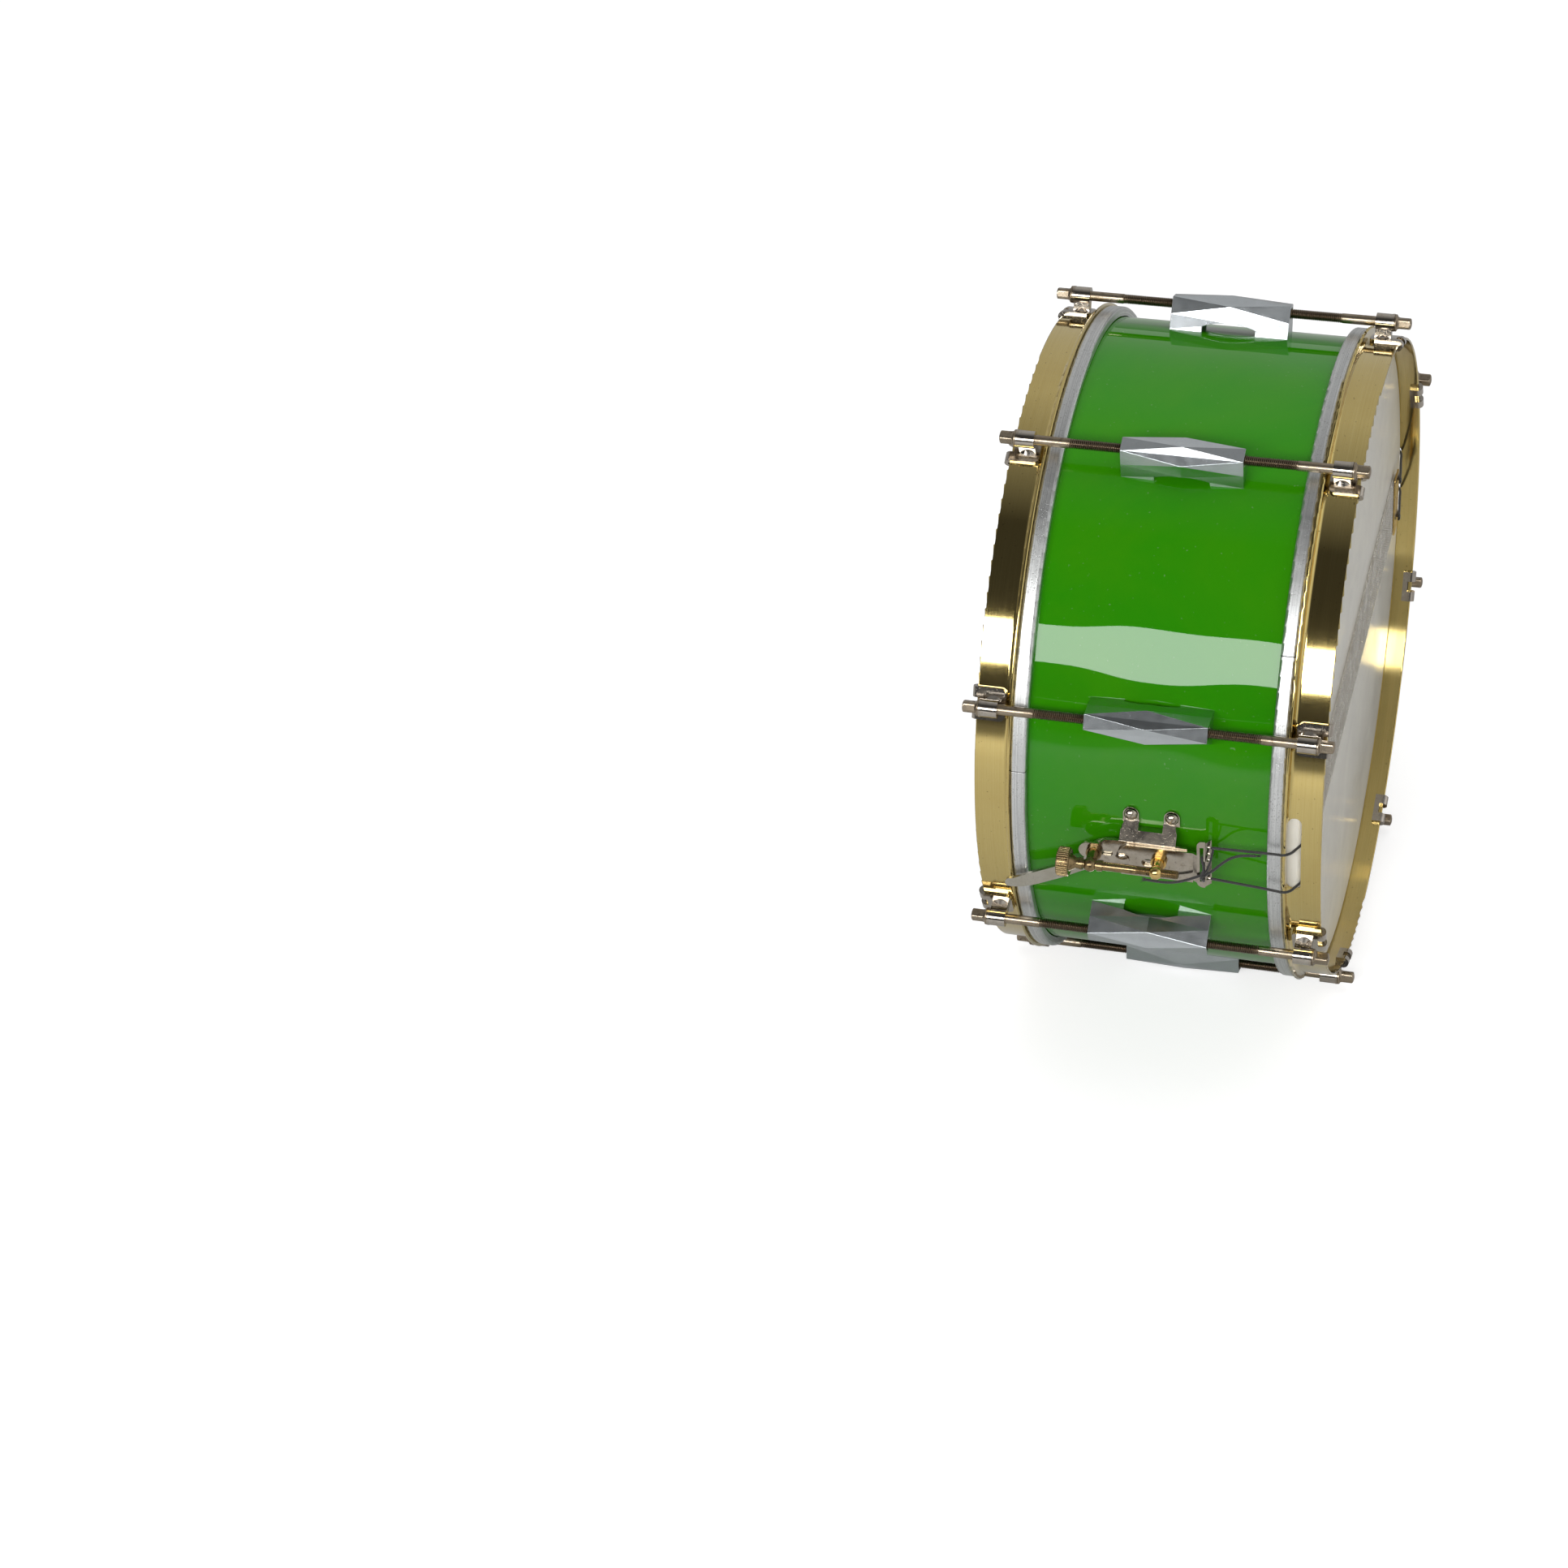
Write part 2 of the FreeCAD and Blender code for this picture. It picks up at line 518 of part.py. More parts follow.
def cam_track(steps=12):
    """The front trunnion's path as the turning lever sees it."""
    return [lever_frame((FRONT_TRUNNION_X + TRAVEL * k / steps, 0.0), -LEVER_SWING * k / steps)
            for k in range(steps + 1)]


def band(track, half_width, out_face, thickness):
    """A plate of constant width along a track of (x, up) points, with round joints."""
    pieces = [pin_out(half_width, out_face - thickness, out_face, *spot) for spot in track]
    for (x0, up0), (x1, up1) in zip(track, track[1:]):
        length = math.hypot(x1 - x0, up1 - up0)
        side_x, side_up = -(up1 - up0) / length * half_width, (x1 - x0) / length * half_width
        corners = [(x0 + side_x, up0 + side_up), (x1 + side_x, up1 + side_up),
                   (x1 - side_x, up1 - side_up), (x0 - side_x, up0 - side_up)]
        pieces.append(plate(corners, out_face, thickness))
    return fused(*pieces)


def make_lever():
    """A long curved blade on a hub whose cam slot draws the front trunnion along."""
    face = BACK_FACE - SHEET - LEVER_GAP
    upper = [(-27.0, -1.0), (-38.0, -10.4), (-49.0, -16.4), (-61.0, -22.4), (-73.5, -29.2)]
    lower = [(-76.6, -34.9), (-67.8, -34.0), (-54.6, -28.3), (-42.6, -21.9), (-34.3, -16.9), (-23.0, -12.9),
             (-13.0, -12.4)]
    edges = []
    for points in (upper, lower):
        curve = Part.BSplineCurve()
        curve.interpolate([at(x, face, up) for x, up in points])
        edges.append(curve)
    tip = Part.Arc(edges[0].EndPoint, at(-77.6, face, -31.8), edges[1].StartPoint)
    close = Part.LineSegment(edges[1].EndPoint, edges[0].StartPoint)
    wire = Part.Wire([e.toShape() for e in (edges[0], tip, edges[1], close)])
    blade = Part.Face(wire).extrude(V(0, LEVER_THICK, 0))
    track = cam_track()
    cam_r = STEM_R + SLIDE_FIT
    fan = plate([LEVER_PIVOT] + track, face, LEVER_THICK)
    hub = fused(band(track, cam_r + LEVER_RIM, face, LEVER_THICK), fan,
                pin_out(5.0, face - LEVER_THICK, face, *LEVER_PIVOT))
    return fused(blade, hub).cut([band(track, cam_r, face + 1, LEVER_THICK + 2),
                                  pin_out(PIVOT_R + RUN_FIT, face - 4, face + 1, *LEVER_PIVOT)])


def make_trunnion(x, seat, tail):
    """A flange, a post and a ball that the adjusting screw runs through."""
    stem = pin_out(STEM_R, tail, seat + 0.5, x, 0)
    flange = pin_out(TRUNNION_FLANGE_R, seat, seat + 2.2, x, 0)
    groove = pin_out(TRUNNION_FLANGE_R + 1, seat + 1.0, seat + 1.3, x, 0)
    groove = groove.cut(pin_out(TRUNNION_FLANGE_R - 0.35, seat, seat + 2, x, 0))
    post = Part.makeCone(3.4, 2.7, SCREW_OUT - seat - 2.2, at(x, seat + 2.2), V(0, -1, 0))
    ball = Part.makeSphere(BALL_R, at(x, SCREW_OUT))
    rivet = pin_out(STEM_R + 1.1, tail, tail + 0.9, x, 0)
    body = fused(stem, flange.cut(groove), post, ball, rivet)
    return body.cut(rod_x(SCREW_AXIS_R + RUN_FIT, x - 9, x + 9, SCREW_OUT))


def make_front_trunnion():
    lever_back = BACK_FACE - SHEET - LEVER_GAP - LEVER_THICK
    return make_trunnion(FRONT_TRUNNION_X, BACK_FACE + 0.1, lever_back - 1.1)


def make_rear_trunnion():
    return make_trunnion(REAR_TRUNNION_X, SLIDER_FACE, BACK_FACE - SHEET - 1.1)


def make_adjuster_screw():
    """The screw, with a collar each side of the front ball to hold it there."""
    ball_left = FRONT_TRUNNION_X - BALL_R
    ball_right = FRONT_TRUNNION_X + BALL_R
    screw = rod_x(SCREW_AXIS_R, KNOB_X[0] + 1, 21.0, SCREW_OUT)
    neck = Part.makeCone(5.0, 3.0, 3.2, at(KNOB_X[1], SCREW_OUT), V(1, 0, 0))
    throat = rod_x(2.9, KNOB_X[1] + 3, ball_left - 1.6, SCREW_OUT)
    left = rod_x(3.3, ball_left - 1.9, ball_left - 0.05, SCREW_OUT)
    right = rod_x(3.1, ball_right + 0.05, ball_right + 3.0, SCREW_OUT)
    return fused(screw, neck, throat, left, right)


def make_adjuster_knob():
    """A straight-knurled round knob on the end of the screw."""
    start, end = KNOB_X
    knob = rod_x(KNOB_R, start, end, SCREW_OUT)
    edges = [e for e in knob.Edges if abs(e.Length - 2 * math.pi * KNOB_R) < 0.1]
    knob = knob.makeChamfer(0.7, edges)
    count = 40
    tooth = rod_x(0.42, start - 1, end + 1, SCREW_OUT + KNOB_R + 0.12)
    grooves = []
    for k in range(count):
        groove = tooth.copy()
        groove.rotate(at(0, SCREW_OUT), V(1, 0, 0), 360 * k / count)
        grooves.append(groove)
    return knob.cut(grooves + [make_adjuster_screw()])


def make_slider():
    """The sliding plate with its relief slot; the ear for the cords is one piece with it."""
    left, right = SLIDER_X
    low, high = SLIDER_UP
    body = plate([(left, low + 1.5), (left + 1.5, low), (right, low), (right, high), (left + 4.5, high),
                  (left, high - 4.5)], SLIDER_FACE, SHEET)
    body = body.cut([slot_out(1.6, 3.4, -2.4, 2.6, SLIDER_BACK - 1, SLIDER_FACE + 1),
                     pin_out(STEM_R, SLIDER_BACK - 1, SLIDER_FACE + 1, REAR_TRUNNION_X, 0),
                     pin_out(STEM_R - 0.1, SLIDER_BACK - 1, SLIDER_FACE + 1, GUIDE_X, -2.0)])
    ear_left, ear_right = EAR_X
    ear_face = SLIDER_FACE + EAR_OUT
    ear_back = ear_face - SHEET
    joggle = [(right, SLIDER_BACK), (ear_left + 0.4, ear_back), (ear_left + 0.4, ear_face), (right, SLIDER_FACE)]
    link = Part.makePolygon([at(x, out, low + 1.5) for x, out in joggle + joggle[:1]])
    link = Part.Face(link).extrude(V(0, 0, high - low - 1.5))
    bottom, top = EAR_UP
    bend = 3.3
    fold = ear_right - 2.9
    ear = plate([(ear_left, bottom + bend), (ear_left + bend * 0.3, bottom + bend * 0.3),
                 (ear_left + bend, bottom), (fold, bottom), (fold, top), (ear_left + bend, top),
                 (ear_left + bend * 0.3, top - bend * 0.3), (ear_left, top - bend)],
                ear_face, SHEET, arcs=(1, 6))
    ear = ear.cut(plate([(31.0, -9.5), (33.0, -9.5), (33.0, 14.5), (31.0, 14.5)], ear_face + 1, 5))
    depth = 3.4
    section = [(fold, ear_face), (ear_right, ear_face - depth), (ear_right - 1.1, ear_face - depth - 0.6),
               (fold, ear_back - 0.2)]
    flange = Part.makePolygon([at(x, out, bottom + 0.8) for x, out in section + section[:1]])
    flange = Part.Face(flange).extrude(V(0, 0, top - bottom - 1.6))
    holes = [rod_x(HOLE_R, fold, ear_right + 1, CORD_EXIT[1], up) for up in CORD_HOLES_UP]
    return fused(body, link, ear, flange).cut(holes)


def make_guide_rivet():
    head = Part.makeSphere(6.2, at(GUIDE_X, SLIDER_FACE - 4.2, -2.0))
    head = head.common(pin_out(3.9, SLIDER_FACE, SLIDER_FACE + 4, GUIDE_X, -2.0))
    return fused(head, pin_out(STEM_R - 0.1, BACK_FACE - SHEET, SLIDER_FACE + 0.5, GUIDE_X, -2.0))


# ---- the butt, opposite the strainer -------------------------------------------
BUTT_SCREW_X = (12.0, 34.0)
BUTT_X = (5.0, 48.0)
BUTT_HALF = 7.0
CLAMP_X = (46.5, 56.0)
CLAMP_HALF = 19.0
CLAMP_SEAT = FLANGE_R + 3.3
CLAMP_SCREW_UP = 7.0
CLAMP_SCREW_X = 51.2


def make_butt_bracket():
    """A curved foot on the shell, a riser and a table that the cords lie on."""
    start, end = BUTT_X
    bed = Part.makeCylinder(SHELL_R + 0.05, 120, V(-40, 0, 0), V(1, 0, 0))
    skin = Part.makeCylinder(SHELL_R + 0.05 + SHEET, 120, V(-40, 0, 0), V(1, 0, 0))
    foot = box(start, end, 165, 185, -BUTT_HALF, BUTT_HALF).common(skin).cut(bed)
    riser = box(end - SHEET, end, 170, CLAMP_SEAT, -BUTT_HALF, BUTT_HALF).cut(bed)
    table = box(end - SHEET, CLAMP_X[1], CLAMP_SEAT - SHEET, CLAMP_SEAT, -CLAMP_HALF, CLAMP_HALF)
    bracket = fused(foot, riser, table)
    for x in BUTT_SCREW_X:
        bracket = bracket.cut(pin_out(FOOT_SCREW_R + 0.15, 165, 190, x, 0))
    for up in (-CLAMP_SCREW_UP, CLAMP_SCREW_UP):
        bracket = bracket.cut(pin_out(1.6, CLAMP_SEAT - 5, CLAMP_SEAT + 1, CLAMP_SCREW_X, up))
    return bracket


def make_butt_clamp():
    low = CLAMP_SEAT + 2 * CORD_R
    bar = box(CLAMP_X[0], CLAMP_X[1] - 0.5, low, low + 2.5, -CLAMP_HALF, CLAMP_HALF)
    edges = [e for e in bar.Edges if abs(e.BoundBox.YLength) < 0.01 and abs(e.CenterOfMass.y + low + 2.5) < 0.01]
    bar = bar.makeFillet(0.8, edges)
    for up in (-CLAMP_SCREW_UP, CLAMP_SCREW_UP):
        bar = bar.cut(pin_out(1.7, low - 1, low + 4, CLAMP_SCREW_X, up))
    return bar


def make_clamp_screw(up):
    seat = CLAMP_SEAT + 2 * CORD_R + 2.5
    shank = pin_out(1.55, CLAMP_SEAT - SHEET - 1.5, seat + 0.5, CLAMP_SCREW_X, up)
    head = pin_out(3.0, seat, seat + 2.0, CLAMP_SCREW_X, up)
    slot = box(CLAMP_SCREW_X - 4, CLAMP_SCREW_X + 4, seat + 1.1, seat + 3, up - 0.4, up + 0.4)
    return fused(shank, head).cut(slot)


# ---- the snare strip and its cords ---------------------------------------------
STRAND_X = HEAD_FACE + 0.25 + STRAND_R
END_PLATE = 0.8
END_PLATE_OUT = (STRAND_LENGTH / 2 - 9, STRAND_LENGTH / 2 + 4.5)
END_PLATE_HALF = 20.5
TIE_UP = 13.5
CORD_LIP = (FLESH_TOP + 3.3, FLANGE_R + 1.7)
CORD_EXIT = (36.6, BACK_FACE + 1.6)
CORD_LIP_UP = (12.9, -14.0)
CORD_GATE = (FLESH_TOP + FLANGE_THICK + GATE_WIDTH - 1.1, HOOP_IN_R + HOOP_WALL / 2 - 0.5)
CORD_EDGE = (HEAD_FACE + 0.9, SHELL_R - BEARING_INSET - 0.1)
CORD_BENDS = [2.5, 6.0, 6.0, 10.0]     # at the flange, the gate, the bearing edge and the end plate
TIE_OUT = END_PLATE_OUT[1] - 2.2
PLATE_X = STRAND_X + STRAND_R + 0.05


def make_snare_wires():
    """The strands, each a plain rod of its coil's outside size."""
    first = -STRAND_PITCH * (STRAND_COUNT - 1) / 2
    return Part.Compound([pin_out(STRAND_R, -STRAND_LENGTH / 2, STRAND_LENGTH / 2, STRAND_X,
                                  first + STRAND_PITCH * k) for k in range(STRAND_COUNT)])


def make_end_plate():
    """A thin plate that the strands' ends are soldered to, with a hole for each cord."""
    low, high = END_PLATE_OUT
    body = box(PLATE_X, PLATE_X + END_PLATE, low, high, -END_PLATE_HALF, END_PLATE_HALF)
    edges = [e for e in body.Edges if abs(e.BoundBox.XLength - END_PLATE) < 0.01]
    body = body.makeFillet(2.0, edges)
    return body.cut([rod_x(1.1, PLATE_X - 1, PLATE_X + 3, TIE_OUT, up) for up in (-TIE_UP, TIE_UP)])


def cord_tube(route, radii):
    """A round cord along straight runs joined by tangent arcs."""
    points = [V(*p) for p in route]
    edges, start = [], points[0]
    for before, corner, after, radius in zip(points, points[1:], points[2:], radii):
        come = (corner - before).normalize()
        go = (after - corner).normalize()
        half = come.getAngle(go) / 2
        back = radius * math.tan(half)
        first, last = corner - come * back, corner + go * back
        middle = corner + (go - come).normalize() * (radius / math.cos(half) - radius)
        edges += [Part.LineSegment(start, first).toShape(), Part.Arc(first, middle, last).toShape()]
        start = last
    edges.append(Part.LineSegment(start, points[-1]).toShape())
    path = Part.Wire(edges)
    ring = Part.Wire(Part.Circle(points[0], points[1] - points[0], CORD_R).toShape())
    tube = path.makePipeShell([ring], True, False)
    return tube


def lip_route(starts, up, lip_up):
    """Over the hoop's flange, through the gate, over the bearing edge and down to the strip."""
    tie = math.copysign(TIE_UP, up)
    plate_x = PLATE_X + END_PLATE + CORD_R
    corners = [at(x, out, up) for x, out in starts] + [at(*CORD_LIP, lip_up)]
    corners += [at(x, out, lip_up + (tie - lip_up) * share) for x, out, share in
                ((*CORD_GATE, 0.2), (*CORD_EDGE, 0.3), (plate_x, END_PLATE_OUT[1] + 1.1, 1), (plate_x, TIE_OUT, 1))]
    return corners


# The two loose ends past the knot: one rises along the upper cord, one trails under the screw.
TAIL_UP = [(33.2, 4.6, -4.4), (38.4, 4.6, 0.4), (43.2, 4.2, 6.4), (48.4, 3.4, 10.6),
           (54.4, 2.8, 12.6), (61.0, 2.4, 12.8)]          # (x, out past the back plate, up)
TAIL_DOWN = [(31.6, 4.4, -4.2), (26.0, 4.8, -7.4), (19.5, 5.2, -10.2), (12.5, 5.6, -11.6),
             (2.4, 5.8, -10.8)]


def tail_radii(route):
    """Each bend as large as its two runs allow."""
    points = [V(*p) for p in route]
    radii = []
    for before, corner, after in zip(points, points[1:], points[2:]):
        shorter = min((corner - before).Length, (after - corner).Length)
        half = (corner - before).getAngle(after - corner) / 2
        radii.append(0.45 * shorter / math.tan(half))
    return radii


# ---- everything in its place ---------------------------------------------------
def strainer(shape):
    return turned(shape, STRAINER_TURN)


def opposite(shape):
    return turned(shape, 180 + STRAINER_TURN)


def build():
    parts["shell"] = make_shell()
    for side, place in (("snare", lambda s: s), ("batter", mirrored)):
        parts[side + "_head"] = place(make_head())
        parts[side + "_flesh_hoop"] = place(make_flesh_hoop())
        hoop = make_counter_hoop()
        parts[side + "_counter_hoop"] = cut_gates(hoop) if side == "snare" else place(hoop)
        rod, claw = make_rod(), make_claw()
        for number, angle in enumerate(lug_angles(), 1):
            parts[f"{side}_tension_rod_{number}"] = turned(place(rod), angle)
        parts[side + "_hoop_claws"] = Part.Compound([turned(place(claw), a) for a in lug_angles()])
    casing = make_casing()
    for number, angle in enumerate(lug_angles(), 1):
        parts[f"lug_casing_{number}"] = turned(casing, angle)

    def both_ends(shape):
        return Part.Compound([turned(s, a) for a in lug_angles() for s in (shape, mirrored(shape))])

    parts["lug_swivel_nuts"] = both_ends(make_swivel_nut())
    parts["lug_springs"] = Part.Compound([turned(make_lug_spring(), a) for a in lug_angles()])
    parts["lug_screws"] = both_ends(make_lug_screw())
    parts["lug_screw_washers"] = both_ends(make_lug_washer())
    parts["tension_rod_washers"] = both_ends(make_washer())

    parts["strainer_bracket"] = strainer(make_bracket())
    foot_seat = SHELL_R * math.cos(math.asin(FOOT_UP / SHELL_R)) + SHEET + 0.4
    parts["strainer_screws"] = Part.Compound([strainer(make_foot_screw(x, FOOT_UP, foot_seat)) for x in FOOT_X])
    butt_seat = SHELL_R + 0.1 + SHEET
    parts["butt_screws"] = Part.Compound([opposite(make_foot_screw(x, 0, butt_seat)) for x in BUTT_SCREW_X])
    parts["bracket_screw_nuts"] = Part.Compound([strainer(make_foot_nut(x, FOOT_UP)) for x in FOOT_X]
                                                + [opposite(make_foot_nut(x, 0)) for x in BUTT_SCREW_X])
    parts["throw_lever"] = strainer(make_lever())
    parts["lever_pivot_rivet"] = strainer(make_lever_pivot())
    parts["front_trunnion"] = strainer(make_front_trunnion())
    parts["adjuster_screw"] = strainer(make_adjuster_screw())
    parts["adjuster_knob"] = strainer(make_adjuster_knob())
    parts["slider_plate"] = strainer(make_slider())
    parts["guide_rivet"] = strainer(make_guide_rivet())
    parts["rear_trunnion"] = strainer(make_rear_trunnion())
    parts["butt_bracket"] = opposite(make_butt_bracket())
    parts["butt_clamp_bar"] = opposite(make_butt_clamp())
    parts["butt_clamp_screws"] = Part.Compound([opposite(make_clamp_screw(u))
                                                for u in (-CLAMP_SCREW_UP, CLAMP_SCREW_UP)])
    parts["snare_wires"] = strainer(make_snare_wires())
    parts["snare_end_plate_front"] = strainer(make_end_plate())
    parts["snare_end_plate_back"] = opposite(make_end_plate())
    parts["snare_cords_front"] = Part.Compound(
        [strainer(cord_tube(lip_route([CORD_EXIT], up, lip), CORD_BENDS))
         for up, lip in zip(CORD_UP, CORD_LIP_UP)])
    table_run = [(x, CLAMP_SEAT + CORD_R) for x in (CLAMP_SCREW_X - 3, CLAMP_X[1] + 1.5)]
    parts["snare_cords_back"] = Part.Compound(
        [opposite(cord_tube(lip_route(table_run, up, up), [10.0] + CORD_BENDS)) for up in (-TIE_UP, TIE_UP)])
    for name, route in (("cord_tail_upper", TAIL_UP), ("cord_tail_lower", TAIL_DOWN)):
        points = [at(x, BACK_FACE + out, up) for x, out, up in route]
        radii = tail_radii(points)
        print(name, "bend radii", [round(r, 1) for r in radii])
        parts[name] = strainer(cord_tube(points, radii))


def stand_on_origin():
    """Lift the drum so that the middle of its base is the origin."""
    whole = Part.Compound(list(parts.values())).optimalBoundingBox(False)
    shift = V(-(whole.XMin + whole.XMax) / 2, -(whole.YMin + whole.YMax) / 2, -whole.ZMin)
    for shape in parts.values():
        shape.translate(shift)
    print("drum centre (mm)", [round(c, 3) for c in shift], "size",
          [round(s, 2) for s in (whole.XLength, whole.YLength, whole.ZLength)])


build()
stand_on_origin()
os.makedirs("parts", exist_ok=True)
for name, shape in parts.items():
    shape.exportStep(f"parts/{name}.step")
    print(name, len(shape.Solids), "solids", round(shape.Volume, 1), "mm3", shape.isValid())
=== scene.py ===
"""A deep snare drum standing on its edge, with gold hoops, nickel lugs and a green lacquered shell.

Sizes are in millimetres from the middle of the drum. x runs along the drum's axis towards the snare
side, out is the distance from the axis at the front of the shell, and up is the height there. A piece
drawn at the front is then turned round the axis to its place.
"""
import math

import bmesh
import bpy
import numpy as np
from mathutils import Matrix, Vector


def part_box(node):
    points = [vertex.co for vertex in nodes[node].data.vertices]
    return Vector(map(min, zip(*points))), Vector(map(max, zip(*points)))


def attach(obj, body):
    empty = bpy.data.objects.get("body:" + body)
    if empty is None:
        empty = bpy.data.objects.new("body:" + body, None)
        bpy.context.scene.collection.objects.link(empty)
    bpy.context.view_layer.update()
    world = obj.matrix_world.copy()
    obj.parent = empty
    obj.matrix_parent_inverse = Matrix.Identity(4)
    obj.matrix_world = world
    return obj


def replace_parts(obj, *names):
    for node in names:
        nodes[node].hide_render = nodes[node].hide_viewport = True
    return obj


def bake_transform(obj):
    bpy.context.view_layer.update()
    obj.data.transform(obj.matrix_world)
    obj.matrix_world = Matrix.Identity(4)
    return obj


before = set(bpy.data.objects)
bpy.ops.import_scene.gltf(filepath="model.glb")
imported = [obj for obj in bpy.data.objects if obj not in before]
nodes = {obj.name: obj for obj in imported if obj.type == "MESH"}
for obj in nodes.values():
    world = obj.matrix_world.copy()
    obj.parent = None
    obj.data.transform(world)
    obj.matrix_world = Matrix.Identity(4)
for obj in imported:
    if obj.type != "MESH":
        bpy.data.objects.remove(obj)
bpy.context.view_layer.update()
scene = bpy.context.scene

# ---- the shell --------------------------------------------------------------------------------
# A plywood cylinder with 45 degree bearing edges. It is sprayed deep green in several coats, rubbed
# down and polished, so it mirrors what faces it, with slow waves where the rubbing wasn't quite flat.
MM = 0.001
SHELL_R = 177.8
GREEN = (0.018, 0.195, 0.0010, 1)
YELLOWER_GREEN = (0.046, 0.215, 0.0012, 1)
BARE_WOOD = (0.42, 0.27, 0.13, 1)

shell_low, shell_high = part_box("shell")
DRUM_MIDDLE = (shell_low + shell_high) / 2


def add(tree, kind, links=None, **settings):
    """A shader node with its settings, and each input given as a value or another node's output."""
    made = tree.nodes.new("ShaderNode" + kind)
    for name, value in settings.items():
        setattr(made, name, value)
    for place, value in (links or {}).items():
        if isinstance(value, bpy.types.NodeSocket):
            tree.links.new(value, made.inputs[place])
        else:
            made.inputs[place].default_value = value
    return made


def maths(tree, operation, *values):
    return add(tree, "Math", dict(enumerate(values)), operation=operation).outputs[0]


def remap(tree, value, low, high, to_low=0.0, to_high=1.0):
    """The value stretched so that low to high becomes to_low to to_high, and no further."""
    return add(tree, "MapRange", {0: value, 1: low, 2: high, 3: to_low, 4: to_high}).outputs[0]


def blend_colours(tree, share, first, second):
    return add(tree, "Mix", {0: share, 6: first, 7: second}, data_type="RGBA").outputs[2]


def cloud(tree, vector, size, detail=4.0):
    """Soft noise from 0 to 1 whose blotches are about size metres across."""
    return add(tree, "TexNoise", {"Vector": vector, "Scale": 1 / size, "Detail": detail,
                                  "Roughness": 0.55}).outputs["Fac"]


def from_axis(tree, place):
    """The distance from the drum's axis, and its y and z parts."""
    parts = add(tree, "SeparateXYZ", {0: place}).outputs
    y = maths(tree, "SUBTRACT", parts[1], DRUM_MIDDLE.y)
    z = maths(tree, "SUBTRACT", parts[2], DRUM_MIDDLE.z)
    squares = maths(tree, "ADD", maths(tree, "MULTIPLY", y, y), maths(tree, "MULTIPLY", z, z))
    return maths(tree, "SQRT", squares), y, z


def effect(name, inputs, outputs):
    """An empty node group, with its input and output nodes."""
    tree = bpy.data.node_groups.new(name, "ShaderNodeTree")
    for label, start in inputs.items():
        tree.interface.new_socket(label, in_out="INPUT", socket_type="NodeSocketFloat").default_value = start
    for label in outputs:
        tree.interface.new_socket(label, in_out="OUTPUT", socket_type="NodeSocketFloat")
    return tree, tree.nodes.new("NodeGroupInput"), tree.nodes.new("NodeGroupOutput")


def apply_effect(tree, group, **inputs):
    made = tree.nodes.new("ShaderNodeGroup")
    made.node_tree = group
    for label, value in inputs.items():
        made.inputs[label.replace("_", " ")].default_value = value
    return made.outputs


def build_drum_lines():
    """Fine lines that run round the drum, and the angle round it in degrees, 0 at the front."""
    tree, given, result = effect("drum_lines", {"Fineness": 3000.0}, ["Lines", "Angle"])
    place = add(tree, "TexCoord").outputs["Object"]
    radius, y, z = from_axis(tree, place)
    x = add(tree, "SeparateXYZ", {0: place}).outputs[0]
    around = add(tree, "CombineXYZ", {0: maths(tree, "MULTIPLY", x, given.outputs[0]),
                                      1: maths(tree, "MULTIPLY", maths(tree, "DIVIDE", y, radius), 2.4),
                                      2: maths(tree, "MULTIPLY", maths(tree, "DIVIDE", z, radius), 2.4)})
    outward = maths(tree, "MULTIPLY", radius, given.outputs[0])
    lines = add(tree, "TexNoise", {"Vector": around.outputs[0], "W": outward, "Scale": 1.0, "Detail": 3.0,
                                   "Roughness": 0.6}, noise_dimensions="4D")
    angle = maths(tree, "DEGREES", maths(tree, "ARCTAN2", z, maths(tree, "MULTIPLY", y, -1.0)))
    tree.links.new(lines.outputs["Fac"], result.inputs[0])
    tree.links.new(angle, result.inputs[1])
    return tree


def build_specks():
    """Scattered specks, and the soft smudges that handling leaves."""
    sizes = {"Speck Scale": 900.0, "Rarity": 0.7, "Smudge Scale": 40.0}
    tree, given, result = effect("specks_and_smudges", sizes, ["Specks", "Smudges"])
    place = add(tree, "TexCoord").outputs["Object"]
    fine = add(tree, "TexNoise", {"Vector": place, "Scale": given.outputs[0], "Detail": 1.0}).outputs["Fac"]
    above = maths(tree, "SUBTRACT", fine, given.outputs[1])
    soft = add(tree, "TexNoise", {"Vector": place, "Scale": given.outputs[2], "Detail": 5.0,
                                  "Roughness": 0.62, "Distortion": 0.4}).outputs["Fac"]
    tree.links.new(remap(tree, above, 0.0, 0.05), result.inputs[0])
    tree.links.new(remap(tree, soft, 0.3, 0.7), result.inputs[1])
    return tree


drum_lines = build_drum_lines()
specks_and_smudges = build_specks()


def new_material(name):
    """A named material: its tree, its Principled shader and the coordinates of the piece."""
    made = bpy.data.materials.new(name)
    made.use_nodes = True
    tree = made.node_tree
    return made, tree, tree.nodes["Principled BSDF"], add(tree, "TexCoord").outputs["Object"]


def bump(tree, shader, height, depth):
    """Relief of that depth in metres on the shader's normal."""
    relief = add(tree, "Bump", {"Strength": 1.0, "Distance": depth, "Height": height})
    tree.links.new(relief.outputs[0], shader.inputs["Normal"])


def paint(material, *names):
    """Gives each CAD node the material."""
    for name in names:
        mesh = nodes[name].data
        mesh.materials.clear()
        mesh.materials.append(material)


